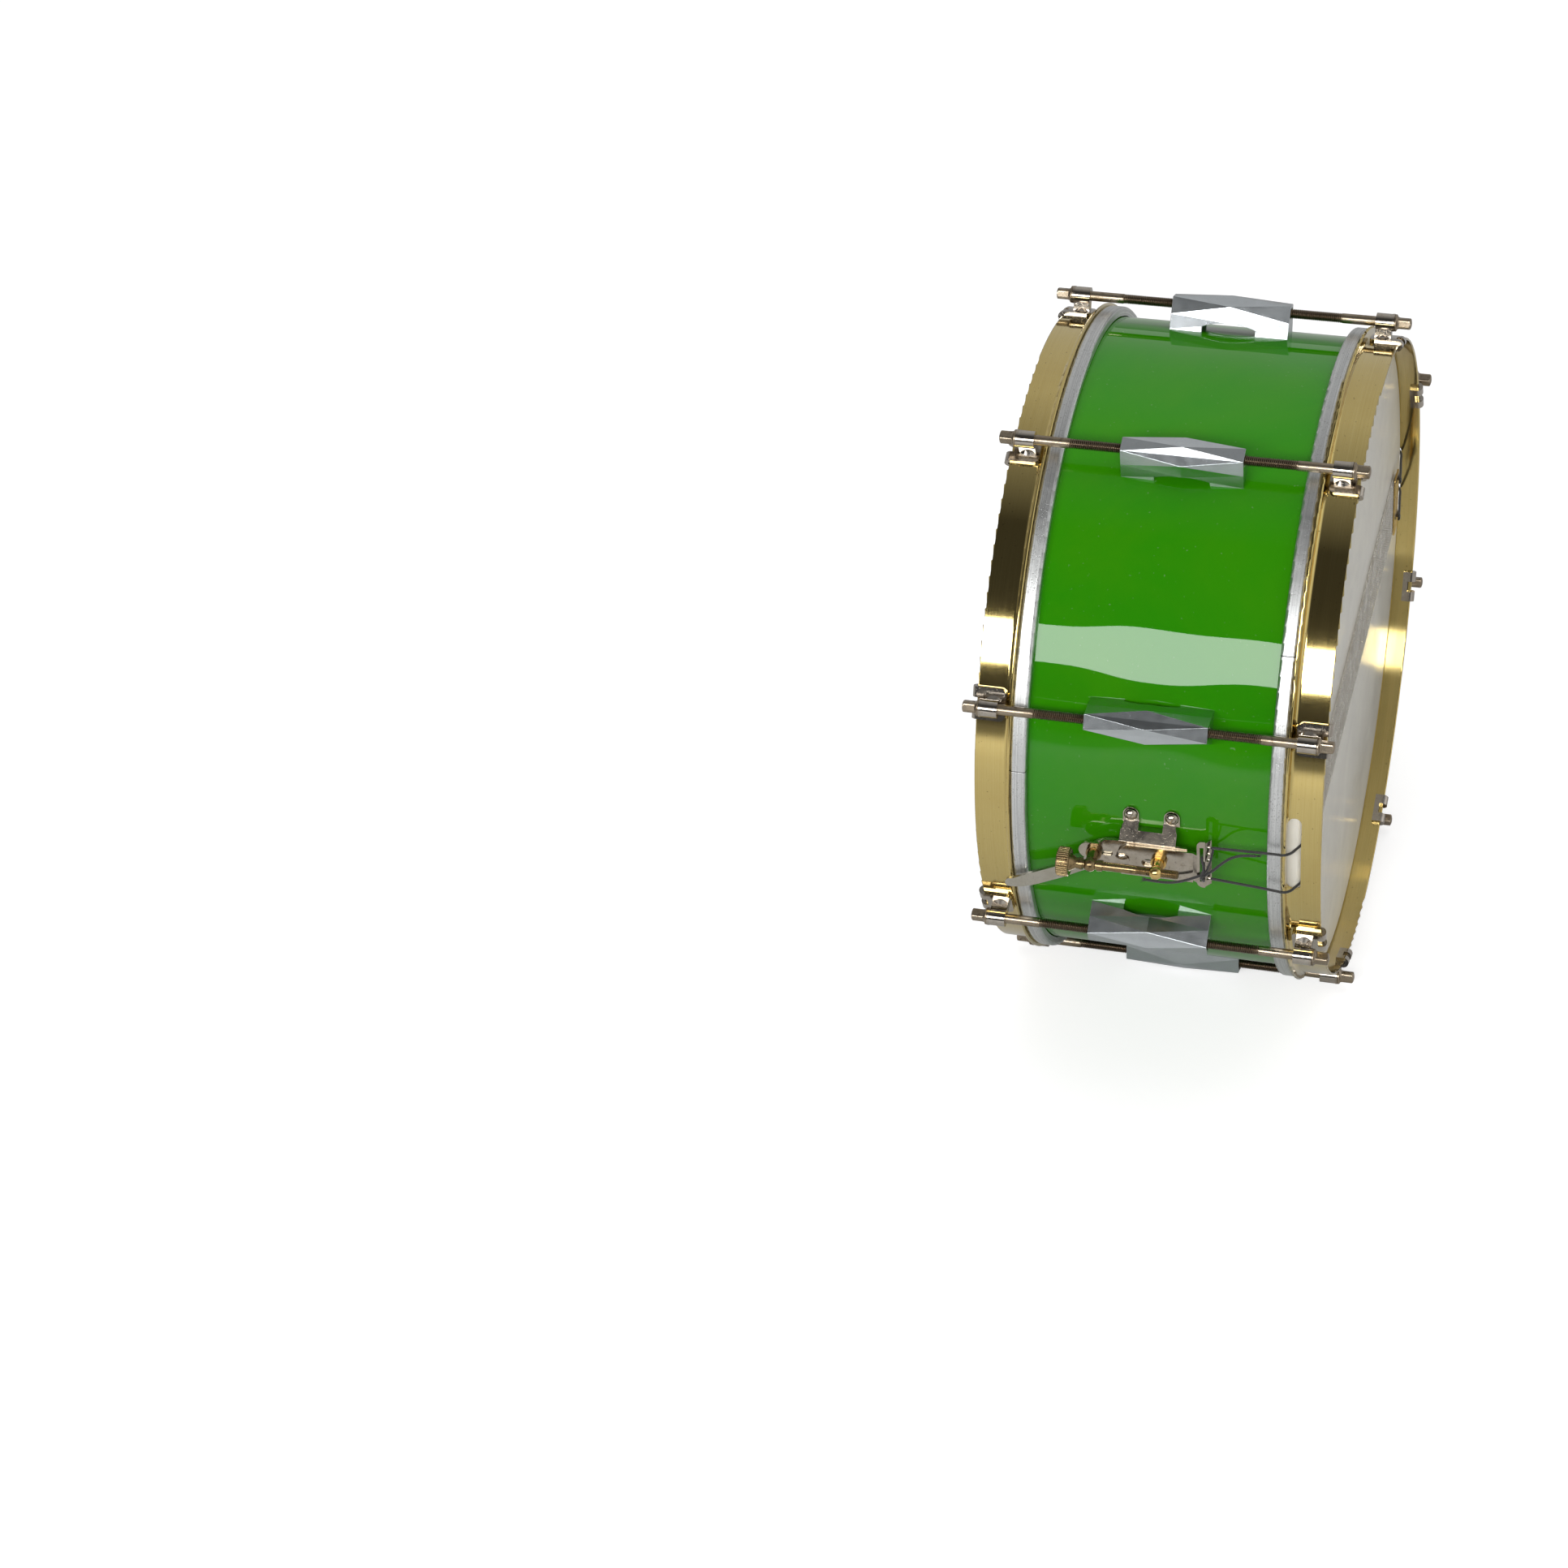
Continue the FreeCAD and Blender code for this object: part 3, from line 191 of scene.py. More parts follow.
def green_lacquer():
    made, tree, shader, place = new_material("green_lacquer")
    marks = apply_effect(tree, specks_and_smudges, Speck_Scale=520.0, Rarity=0.745, Smudge_Scale=9.0)
    radius = from_axis(tree, place)[0]
    outside = remap(tree, radius, (SHELL_R - 3.0) * MM, (SHELL_R - 2.6) * MM)
    colour = blend_colours(tree, remap(tree, marks["Smudges"], 0.2, 1.0, 0.0, 0.55), GREEN, YELLOWER_GREEN)
    specks = maths(tree, "MULTIPLY", marks["Specks"], 0.35)
    colour = blend_colours(tree, specks, colour, (0.20, 0.30, 0.16, 1))
    grain = cloud(tree, add(tree, "Mapping", {0: place, 3: (4.0, 60.0, 60.0)}).outputs[0], 0.12)
    wood = blend_colours(tree, grain, BARE_WOOD, (0.62, 0.45, 0.26, 1))
    tree.links.new(blend_colours(tree, outside, wood, colour), shader.inputs["Base Color"])
    tree.links.new(remap(tree, outside, 0, 1, 0.55, 0.018), shader.inputs["Roughness"])
    shader.inputs["Specular IOR Level"].default_value = 0.40
    wave = cloud(tree, place, 0.055, detail=0.0)
    peel = cloud(tree, place, 0.0016, detail=1.0)
    bump(tree, shader, maths(tree, "ADD", wave, maths(tree, "MULTIPLY", peel, 0.0004)), 0.0016)
    return made


paint(green_lacquer(), "shell")

# ---- the heads --------------------------------------------------------------------------------
# Two polyester films, one over each bearing edge. The batter's is thicker and sprayed with a thin
# rough coat for brushes, the snare's is thin and hazy, and both are a little dirty where they're hit.


def film(name, clear, dirt, roughness, opacity):
    made, tree, shader, place = new_material(name)
    marks = apply_effect(tree, specks_and_smudges, Speck_Scale=800.0, Rarity=0.71, Smudge_Scale=14.0)
    colour = blend_colours(tree, remap(tree, marks["Smudges"], 0.0, 1.0, 0.0, 0.4), clear, dirt)
    colour = blend_colours(tree, maths(tree, "MULTIPLY", marks["Specks"], 0.3), colour, (0.45, 0.43, 0.38, 1))
    tree.links.new(colour, shader.inputs["Base Color"])
    dulled = remap(tree, marks["Smudges"], 0, 1, roughness - 0.06, roughness + 0.08)
    tree.links.new(dulled, shader.inputs["Roughness"])
    shader.inputs["Alpha"].default_value = opacity
    bump(tree, shader, cloud(tree, place, 0.0006, detail=2.0), 0.00004)
    return made


paint(film("snare_film", (0.86, 0.84, 0.77, 1), (0.76, 0.72, 0.62, 1), 0.20, 0.80), "snare_head")
paint(film("batter_film", (0.88, 0.88, 0.86, 1), (0.74, 0.72, 0.66, 1), 0.46, 0.97), "batter_head")

# ---- the flesh hoops --------------------------------------------------------------------------
# Extruded aluminium channel that clamps each film, rolled into a ring and butted at a seam. It isn't
# polished: fine lines from the rolling run round it, and the counter hoop's flange has worn its edge.


def dull_aluminium(name, seam):
    made, tree, shader, place = new_material(name)
    lines = apply_effect(tree, drum_lines, Fineness=2200.0)
    marks = apply_effect(tree, specks_and_smudges, Speck_Scale=1300.0, Rarity=0.61, Smudge_Scale=60.0)
    streaks = remap(tree, lines["Lines"], 0.38, 0.66)
    colour = blend_colours(tree, streaks, (0.56, 0.57, 0.57, 1), (0.80, 0.81, 0.80, 1))
    pits = maths(tree, "MULTIPLY", marks["Specks"], marks["Smudges"])
    colour = blend_colours(tree, pits, colour, (0.36, 0.36, 0.35, 1))
    off_seam = maths(tree, "ABSOLUTE", maths(tree, "SUBTRACT", lines["Angle"], seam))
    gap = remap(tree, off_seam, 0.05, 0.10, 1.0, 0.0)
    tree.links.new(blend_colours(tree, gap, colour, (0.10, 0.10, 0.10, 1)), shader.inputs["Base Color"])
    shader.inputs["Metallic"].default_value = 1.0
    tree.links.new(remap(tree, marks["Smudges"], 0, 1, 0.34, 0.50), shader.inputs["Roughness"])
    height = maths(tree, "ADD", streaks, maths(tree, "MULTIPLY", marks["Specks"], -1.5))
    height = maths(tree, "SUBTRACT", height, maths(tree, "MULTIPLY", gap, 4.0))
    bump(tree, shader, height, 0.000018)
    return made


paint(dull_aluminium("snare_flesh_aluminium", 36.0), "snare_flesh_hoop")
paint(dull_aluminium("batter_flesh_aluminium", 11.0), "batter_flesh_hoop")

# ---- the counter hoops ------------------------------------------------------------------------
# Brass strip with one edge turned out, rolled and brazed into a ring. It is brushed round the hoop,
# polished on its flange, and lacquered, with specks where the lacquer has let air in.


def gold_brass():
    made, tree, shader, place = new_material("gold_lacquered_brass")
    lines = apply_effect(tree, drum_lines, Fineness=6500.0)
    marks = apply_effect(tree, specks_and_smudges, Speck_Scale=700.0, Rarity=0.735, Smudge_Scale=22.0)
    streaks = remap(tree, lines["Lines"], 0.36, 0.64)
    colour = blend_colours(tree, streaks, (0.63, 0.485, 0.165, 1), (0.72, 0.575, 0.225, 1))
    handled = remap(tree, marks["Smudges"], 0.3, 1.0, 0.0, 0.35)
    colour = blend_colours(tree, handled, colour, (0.58, 0.42, 0.13, 1))
    colour = blend_colours(tree, maths(tree, "MULTIPLY", marks["Specks"], 0.8), colour, (0.10, 0.06, 0.02, 1))
    tree.links.new(colour, shader.inputs["Base Color"])
    shader.inputs["Metallic"].default_value = 1.0
    dulled = maths(tree, "MULTIPLY", marks["Smudges"], 0.03)
    rough = maths(tree, "ADD", remap(tree, streaks, 0, 1, 0.05, 0.085), dulled)
    tree.links.new(rough, shader.inputs["Roughness"])
    shader.inputs["Coat Weight"].default_value = 0.5
    shader.inputs["Coat Roughness"].default_value = 0.05
    height = maths(tree, "SUBTRACT", streaks, maths(tree, "MULTIPLY", marks["Specks"], 2.0))
    bump(tree, shader, height, 0.0000012)
    return made


paint(gold_brass(), "snare_counter_hoop", "batter_counter_hoop")

# ---- the claws, rods and washers --------------------------------------------------------------
# Each of the sixteen claws is a steel pressing: a plate hooked over the hoop's edge and a rolled
# collar for the rod, nickel plated. A plated steel rod with a square head is cut with a 24 per inch
# thread where it reaches the lug, and its old plating has gone brown in the threads.
ROD_CIRCLE = 190.6
ROD_R = 2.75
THREAD_PITCH = 1.06
THREAD_DEPTH = 0.62
ROD_INNER_END = 19.0
THREAD_END = 61.5
ROD_FLANGE = (90.1, 92.3)
ROD_FLANGE_R = 4.75
KEY_HALF = 3.0
KEY_TIP = 99.5
KEY_DOME_R = 8.28
LUG_ANGLES = [112.5 - 45.0 * number for number in range(8)]


def on_drum(points, angle=0.0):
    """Rows of (x, out, up) in mm, turned up round the axis by the angle, as places in metres."""
    x, out, up = np.asarray(points, float).reshape(-1, 3).T
    turn = math.radians(angle)
    y = -out * math.cos(turn) + up * math.sin(turn)
    z = out * math.sin(turn) + up * math.cos(turn)
    return np.stack([x, y, z], axis=1) * MM + np.array(DRUM_MIDDLE)


def piece(name, points, faces, material, body, slot, smooth=True):
    """A mesh piece that rides on a body, in the given material; the slot argument is not used."""
    mesh = bpy.data.meshes.new(name)
    mesh.from_pydata([tuple(p) for p in points], [], faces)
    mesh.materials.append(material)
    if smooth:
        mesh.polygons.foreach_set("use_smooth", [True] * len(mesh.polygons))
    made = bpy.data.objects.new(name, mesh)
    scene.collection.objects.link(made)
    if body:
        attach(made, body)
    return made


def grid_faces(rows, sides):
    """The skin of a closed tube of rows by sides points, and its two end caps."""
    faces = []
    for row in range(rows - 1):
        low = row * sides
        for side in range(sides):
            after = (side + 1) % sides
            faces.append((low + side, low + after, low + sides + after, low + sides + side))
    faces.append(tuple(reversed(range(sides))))
    faces.append(tuple((rows - 1) * sides + side for side in range(sides)))
    return faces


def thread_radius(x, angles, crest, depth, pitch, start, end):
    """The radius of a right-hand thread at x, which runs out smoothly at its two ends."""
    phase = (x / pitch - angles / (2 * math.pi)) % 1.0
    groove = np.clip(1.25 - 2.5 * np.abs(phase - 0.5), 0.0, 1.0)
    fade = np.clip(min(x - start, end - x) / pitch, 0.0, 1.0)
    return crest - depth * (1 - groove) * fade


def rod_points():
    """A rod along x at (out, up) = (0, 0): thread, plain shank, flange, cone and square key head."""
    sides = 32
    angles = np.arange(sides) * 2 * math.pi / sides
    round_ring = np.ones(sides)
    to_flat = np.maximum(np.abs(np.cos(angles)), np.abs(np.sin(angles)))
    square = np.minimum(KEY_HALF / to_flat, KEY_HALF * 1.25)
    rows = [(ROD_INNER_END, round_ring * (ROD_R - THREAD_DEPTH))]
    for x in np.arange(ROD_INNER_END + 0.3, THREAD_END, THREAD_PITCH / 5):
        ring = thread_radius(x, angles, ROD_R, THREAD_DEPTH, THREAD_PITCH, ROD_INNER_END - 1, THREAD_END)
        rows.append((x, ring))
    low, high = ROD_FLANGE
    rows += [(THREAD_END, round_ring * ROD_R), (75.0, round_ring * ROD_R), (low, round_ring * ROD_R)]
    flange = ((low, 4.45), (low + 0.3, ROD_FLANGE_R), (low + 0.9, ROD_FLANGE_R), (low + 1.2, 4.55),
              (low + 1.25, 4.3))
    rows += [(x, round_ring * r) for x, r in flange]
    rows += [(high - 0.35, np.maximum(square, 3.35)), (high, square), (high + 0.4, square * 0.965),
             (high + 1.0, square * 0.955), (KEY_TIP - 2.2, square * 0.955)]
    for x in (KEY_TIP - 1.5, KEY_TIP - 1.0, KEY_TIP - 0.6, KEY_TIP - 0.3, KEY_TIP - 0.08):
        dome = math.sqrt(KEY_DOME_R ** 2 - (x - KEY_TIP + KEY_DOME_R) ** 2)
        rows.append((x, np.minimum(square * 0.955, dome * 0.96)))
    points = [(x, r * math.cos(a), r * math.sin(a)) for x, ring in rows for r, a in zip(ring, angles)]
    return np.array(points), grid_faces(len(rows), sides)


def plated(name, bright, dull, rough, specks, grain=0.00035, depth=0.000012, grime=None, grime_share=0.0,
           rarity=0.66, dark_inside=0.0):
    """Plated or polished metal: tarnish in clouds, pits and specks, and grime if it has any, all over
    the length of a rod that lies nearer the drum's middle than dark_inside."""
    made, tree, shader, place = new_material(name)
    marks = apply_effect(tree, specks_and_smudges, Speck_Scale=1500.0, Rarity=rarity, Smudge_Scale=110.0)
    colour = blend_colours(tree, marks["Smudges"], bright, dull)
    if grime:
        blotches = cloud(tree, place, 0.004, detail=5.0)
        patch = remap(tree, blotches, 0.62 - 0.3 * grime_share, 0.78 - 0.3 * grime_share)
        if dark_inside:
            along = maths(tree, "ABSOLUTE", add(tree, "SeparateXYZ", {0: place}).outputs[0])
            threads = remap(tree, along, dark_inside - 0.004, dark_inside + 0.002, 0.75, 0.0)
            patch = maths(tree, "MAXIMUM", patch, threads)
        colour = blend_colours(tree, patch, colour, grime)
    pits = maths(tree, "MULTIPLY", marks["Specks"], specks)
    colour = blend_colours(tree, pits, colour, (0.05, 0.04, 0.03, 1))
    tree.links.new(colour, shader.inputs["Base Color"])
    shader.inputs["Metallic"].default_value = 1.0
    tree.links.new(remap(tree, marks["Smudges"], 0, 1, rough[0], rough[1]), shader.inputs["Roughness"])
    relief = cloud(tree, place, grain, detail=2.0)
    height = maths(tree, "SUBTRACT", relief, maths(tree, "MULTIPLY", marks["Specks"], 0.8))
    bump(tree, shader, height, depth)
    return made


claw_nickel = plated("claw_nickel", (0.56, 0.52, 0.46, 1), (0.44, 0.39, 0.33, 1), (0.08, 0.18), 0.4)
rod_nickel = plated("rod_nickel", (0.44, 0.37, 0.28, 1), (0.27, 0.215, 0.15, 1), (0.24, 0.42), 0.5,
                    grime=(0.10, 0.07, 0.045, 1), grime_share=0.12, dark_inside=THREAD_END * MM)
washer_nickel = plated("washer_nickel", (0.54, 0.49, 0.42, 1), (0.38, 0.32, 0.25, 1), (0.12, 0.28), 0.4)
paint(claw_nickel, "snare_hoop_claws", "batter_hoop_claws")
paint(washer_nickel, "tension_rod_washers")
rod_mesh, rod_faces = rod_points()
for side, way in (("snare", 1), ("batter", -1)):
    for number, angle in enumerate(LUG_ANGLES, 1):
        shape = rod_mesh * (way, 1, way) + (0, ROD_CIRCLE, 0)
        rod = piece(f"{side}_threaded_rod_{number}", on_drum(shape, angle), rod_faces, rod_nickel,
                    f"{side}_rod_{number}", "aged_nickel", smooth=False)
        rod.data.shade_smooth()
        rod.data.set_sharp_from_angle(angle=math.radians(48))
        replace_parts(rod, f"{side}_tension_rod_{number}")

# ---- the lugs ---------------------------------------------------------------------------------
# A hollow zinc casting with faceted sides, arched over the shell and nickel plated, slightly pitted
# from the mould. Inside, a brass swivel nut sits in each end, with a spring between them, and two
# screws with washers hold it from inside the shell.
LUG_BEVEL = 0.32
SPRING_WIRE_R = 0.45
SPRING_R = 3.7
SPRING_LENGTH = 37.6
SPRING_PITCH = 2.2


def rounded_copy(node, name, width, material, body, angle=20):
    """A CAD node's own shape with its sharp edges rounded, which stands for it."""
    mesh = nodes[node].data.copy()
    mesh.name = name
    mesh.materials.clear()
    mesh.materials.append(material)
    made = bpy.data.objects.new(name, mesh)
    scene.collection.objects.link(made)
    work = bmesh.new()
    work.from_mesh(mesh)
    bmesh.ops.remove_doubles(work, verts=work.verts, dist=1e-6)
    bmesh.ops.dissolve_limit(work, angle_limit=math.radians(1.0), verts=work.verts, edges=work.edges)
    work.to_mesh(mesh)
    work.free()
    soften = made.modifiers.new("rounded edges", "BEVEL")
    soften.width = width * MM
    soften.segments = 2
    soften.limit_method = "ANGLE"
    soften.angle_limit = math.radians(angle)
    soften.use_clamp_overlap = True
    mesh.shade_flat()
    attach(made, body)
    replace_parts(made, node)


def tube(path, radius, sides=8):
    """The points and faces of a tube along a path in mm; radius is a number or a (rows, sides) array."""
    path = np.asarray(path, float)
    tangents = np.gradient(path, axis=0)
    tangents /= np.linalg.norm(tangents, axis=1)[:, None]
    first = np.cross(tangents[0], (0.3, 0.2, 0.93))
    first /= np.linalg.norm(first)
    sides_in = [first]
    for tangent in tangents[1:]:
        kept = sides_in[-1] - tangent * np.dot(sides_in[-1], tangent)
        sides_in.append(kept / np.linalg.norm(kept))
    sides_in = np.array(sides_in)
    across = np.cross(tangents, sides_in)
    angles = np.arange(sides) * 2 * math.pi / sides
    radius = np.broadcast_to(radius, (len(path), sides))
    points = (path[:, None] + radius[..., None] * (sides_in[:, None] * np.cos(angles)[None, :, None]
                                                   + across[:, None] * np.sin(angles)[None, :, None]))
    return points.reshape(-1, 3), grid_faces(len(path), sides)


def together(shapes):
    """Several (points, faces) shapes as one."""
    points, faces, start = [], [], 0
    for shape_points, shape_faces in shapes:
        points.append(np.asarray(shape_points))
        faces += [tuple(start + index for index in face) for face in shape_faces]
        start += len(shape_points)
    return np.concatenate(points), faces


def helix(length, radius, pitch, steps=10):
    """A coil along x from 0 to length in mm."""
    turns = length / pitch
    share = np.linspace(0, 1, int(turns * steps) + 1)
    angle = share * turns * 2 * math.pi
    return np.stack([share * length, radius * np.cos(angle), radius * np.sin(angle)], axis=1)


lug_nickel = plated("lug_nickel", (0.62, 0.66, 0.68, 1), (0.57, 0.605, 0.625, 1), (0.20, 0.26), 0.25,
                    grain=0.0009, depth=0.000010, rarity=0.70)
for number in range(1, 9):
    rounded_copy(f"lug_casing_{number}", f"lug_{number}", LUG_BEVEL, lug_nickel, "drum")
zinc = plated("zinc_plate", (0.55, 0.56, 0.57, 1), (0.36, 0.36, 0.36, 1), (0.30, 0.44), 0.3)
brass = plated("yellow_brass", (0.80, 0.58, 0.22, 1), (0.55, 0.36, 0.12, 1), (0.12, 0.30), 0.3)
paint(brass, "lug_swivel_nuts")
paint(zinc, "lug_screws", "lug_screw_washers", "bracket_screw_nuts")
spring = []
for angle in LUG_ANGLES:
    coil = helix(SPRING_LENGTH, SPRING_R - SPRING_WIRE_R, SPRING_PITCH) + (-SPRING_LENGTH / 2, ROD_CIRCLE, 0)
    points, faces = tube(coil, SPRING_WIRE_R, 6)
    spring.append((on_drum(points, angle), faces))
springs = piece("lug_spring_coils", *together(spring), zinc, "drum", "zinc_steel")
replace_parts(springs, "lug_springs")

# ---- the strainer -----------------------------------------------------------------------------
# Pressed steel plates, nickel plated and warm with age. A bracket on two screwed feet carries the
# throw lever, a sliding plate with the cords' ear, and the adjusting screw between two brass posts.
STRAINER_TURN = -2.2
BACK_FACE = 187.4
SCREW_OUT = 198.3
SCREW_R = 2.4
SCREW_PITCH = 0.8

warm_nickel = plated("warm_nickel", (0.56, 0.51, 0.43, 1), (0.43, 0.375, 0.30, 1), (0.12, 0.26), 0.5,
                     grime=(0.22, 0.16, 0.11, 1), grime_share=0.02)
bronze = plated("browned_brass", (0.36, 0.265, 0.13, 1), (0.20, 0.14, 0.075, 1), (0.20, 0.38), 0.4,
                grime=(0.08, 0.052, 0.03, 1), grime_share=0.15)
satin_steel = plated("satin_steel", (0.54, 0.52, 0.45, 1), (0.44, 0.41, 0.34, 1), (0.26, 0.38), 0.35)
rounded_copy("strainer_bracket", "bracket_plate", 0.22, warm_nickel, "drum", angle=35)
rounded_copy("slider_plate", "slider_and_ear", 0.22, warm_nickel, "slider", angle=35)
rounded_copy("throw_lever", "lever_blade", 0.30, satin_steel, "lever", angle=35)
paint(warm_nickel, "strainer_screws", "lever_pivot_rivet", "guide_rivet")
paint(bronze, "front_trunnion", "adjuster_knob")
paint(brass, "rear_trunnion")


def adjuster_points():
    """The adjusting screw along x: knob end, neck and collars, then its thread and rounded end."""
    sides = 24
    angles = np.arange(sides) * 2 * math.pi / sides
    plain = [(-43.6, 2.4), (-37.8, 2.4), (-37.8, 5.0), (-34.7, 3.0), (-34.6, 2.9), (-32.8, 2.9), (-32.8, 3.3),
             (-30.95, 3.3), (-30.95, 2.4), (-23.05, 2.4), (-23.05, 3.1), (-20.1, 3.1), (-20.1, 2.4), (-2.5, 2.4)]
    rows = [(x, np.full(sides, r)) for x, r in plain]
    for x in np.arange(-2.3, 20.3, SCREW_PITCH / 5):
        rows.append((x, thread_radius(x, angles, SCREW_R, 0.42, SCREW_PITCH, -2.5, 21.4)))
    rows += [(20.6, np.full(sides, 1.85)), (20.95, np.full(sides, 1.3))]
    points = [(x, SCREW_OUT + r * math.cos(a), r * math.sin(a))
              for x, ring in rows for r, a in zip(ring, angles)]
    return np.array(points), grid_faces(len(rows), sides)


screw_points, screw_faces = adjuster_points()
adjuster = piece("threaded_adjuster", on_drum(screw_points, STRAINER_TURN), screw_faces, bronze, "adjuster",
                 "bronzed_brass")
adjuster.data.set_sharp_from_angle(angle=math.radians(48))
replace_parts(adjuster, "adjuster_screw")

# ---- the butt ---------------------------------------------------------------------------------
# The snares' fixed end, opposite the strainer: a bent plate screwed to the shell, and a bar that two
# clamp screws press on the cords.
BUTT_TURN = 180 + STRAINER_TURN
rounded_copy("butt_bracket", "butt_plate", 0.25, warm_nickel, "drum", angle=35)
paint(warm_nickel, "butt_clamp_bar", "butt_screws")
paint(zinc, "butt_clamp_screws")

# ---- the snare strip --------------------------------------------------------------------------
# Twenty coiled steel wires lie side by side across the head, soldered at both ends to a thin brass
# plate with a hole for each cord.
STRAND_X = 83.95
STRAND_R = 0.85
STRAND_WIRE_R = 0.21
STRAND_LENGTH = 296.0
STRAND_PITCH = 2.0
STRAND_COIL_PITCH = 1.25
STRAND_COUNT = 20
wire_steel = plated("snare_wire_steel", (0.86, 0.84, 0.79, 1), (0.62, 0.58, 0.51, 1), (0.22, 0.36), 0.2)
paint(brass, "snare_end_plate_front", "snare_end_plate_back")
strands = []
for number in range(STRAND_COUNT):
    up = STRAND_PITCH * (number - (STRAND_COUNT - 1) / 2)
    coil = helix(STRAND_LENGTH, STRAND_R - STRAND_WIRE_R, STRAND_COIL_PITCH, steps=8)
    turned = np.array([[math.cos(number), -math.sin(number)], [math.sin(number), math.cos(number)]])
    coil[:, 1:] = coil[:, 1:] @ turned
    along, side_x, side_up = coil.T
    path = np.stack([STRAND_X + side_x, along - STRAND_LENGTH / 2, up + side_up], axis=1)
    points, faces = tube(path, STRAND_WIRE_R, 4)
    strands.append((on_drum(points, STRAINER_TURN), faces))
wires = piece("snare_coils", *together(strands), wire_steel, "snares", "wire_steel")
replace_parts(wires, "snare_wires")

# ---- the cords --------------------------------------------------------------------------------
# Black braided nylon, 1.5 mm thick. Two lengths leave the strainer's ear, bend over the hoop's flange
# and are knotted through the end plate, and two more go to the butt. The loose ends are frayed.
CORD_R = 0.75
TIE_UP = 13.5
BRAID_TURN = 2.1
FRAY_STRANDS = 14
FRAY_LENGTH = 4.2


def spline_points(route, resolution=90):
    """The points along the smooth spline that a route's points control, in the route's own units."""
    curve = bpy.data.curves.new("route", "CURVE")
    curve.dimensions = "3D"
    line = curve.splines.new("NURBS")
    line.points.add(len(route) - 1)
    for point, place in zip(line.points, route):
        point.co = (*place, 1.0)
    line.order_u = 3
    line.use_endpoint_u = True
    line.resolution_u = resolution
    holder = bpy.data.objects.new("route", curve)
    mesh = bpy.data.meshes.new_from_object(holder)
    points = np.array([vertex.co[:] for vertex in mesh.vertices])
    bpy.data.objects.remove(holder)
    bpy.data.curves.remove(curve)
    bpy.data.meshes.remove(mesh)
    return points[np.concatenate([[True], np.linalg.norm(np.diff(points, axis=0), axis=1) > 1e-5])]


def braid(path, radius=CORD_R, sides=24):
    """A tube whose skin is woven from strands that cross both ways round it."""
    along = np.concatenate([[0], np.cumsum(np.linalg.norm(np.diff(path, axis=0), axis=1))])[:, None]
    angles = np.arange(sides)[None, :] * 2 * math.pi / sides
    one = np.abs(np.sin(3 * angles + BRAID_TURN * along))
    other = np.abs(np.sin(3 * angles - BRAID_TURN * along))
    return tube(path, radius * (0.84 + 0.16 * np.maximum(one, other)), sides)


def knot(middle, size=1.5, radius=0.56):
    """A small overhand knot about a point."""
    t = np.linspace(0, 2 * math.pi, 120)
    loop = np.stack([np.sin(3 * t) * -0.55, np.sin(t) + 2 * np.sin(2 * t), np.cos(t) - 2 * np.cos(2 * t)],
                    axis=1)
    return braid(np.asarray(middle) + loop * (size / 3), radius, 16)


def fray(end, direction):
    """Loose fibres that fan out from a cord's cut end."""
    fibres = []
    for number in range(FRAY_STRANDS):
        turn = number * 2.4
        lean = 0.12 + 0.30 * (number % 5) / 4
        sideways = (np.array([-direction[1], direction[0], 0.35]) * math.cos(turn)
                    + np.array([0.0, -direction[2], direction[1]]) * math.sin(turn))
        reach = FRAY_LENGTH * (0.55 + 0.45 * ((number * 7) % 10) / 9)
        start = end - direction * 0.6 + sideways * 0.35
        route = [start, start + direction * reach * 0.5 + sideways * lean * reach * 0.3,
                 start + direction * reach * 0.9 + sideways * lean * reach]
        fibres.append(tube(spline_points(route, 8), 0.11, 5))
    return fibres


def black_braid():
    made, tree, shader, place = new_material("black_braid")
    marks = apply_effect(tree, specks_and_smudges, Speck_Scale=2600.0, Rarity=0.6, Smudge_Scale=150.0)
    colour = blend_colours(tree, marks["Smudges"], (0.006, 0.006, 0.006, 1), (0.020, 0.019, 0.018, 1))
    lint = maths(tree, "MULTIPLY", marks["Specks"], 0.4)
    colour = blend_colours(tree, lint, colour, (0.09, 0.085, 0.08, 1))
    tree.links.new(colour, shader.inputs["Base Color"])
    tree.links.new(remap(tree, marks["Smudges"], 0, 1, 0.5, 0.7), shader.inputs["Roughness"])
    shader.inputs["Sheen Weight"].default_value = 0.25
    bump(tree, shader, cloud(tree, place, 0.00018, detail=2.0), 0.00003)
    return made


cord_black = black_braid()
LIP_PLACE = (77.4, 187.1)
KNOT_PLACE = (87.0, 149.4)
FRONT_ROUTES = (
    [(36.6, 189.0, 13.9), (68.4, 186.9, 13.1), (77.4, 187.1, 12.9), (82.1, 178.9, 13.0), (83.9, 175.4, 13.1),
     (84.5, 168.6, 13.2), (86.5, 153.5, 13.5), (86.4, 150.3, 13.5)],
    [(36.6, 189.0, -8.1), (68.2, 186.9, -12.7), (77.4, 187.1, -14.1), (82.1, 178.8, -13.9), (83.9, 175.5, -13.9),
     (84.5, 168.4, -13.7), (86.5, 153.6, -13.5), (86.4, 150.3, -13.5)])
BACK_ROUTE = ((48.2, 189.0), (57.6, 189.2), (68.2, 187.5), (77.4, 187.1), (82.1, 178.8), (83.9, 175.5),
              (84.5, 168.4), (86.5, 153.6), (86.4, 150.3))
BACK_ROUTES = [[(x, out, tie) for x, out in BACK_ROUTE] for tie in (-TIE_UP, TIE_UP)]


def cord_piece(name, shapes, angle, body):
    """Shapes of black cord as one piece, turned round the drum to their place."""
    points, faces = together(shapes)
    return piece(name, on_drum(points, angle), faces, cord_black, body, "black_braid")


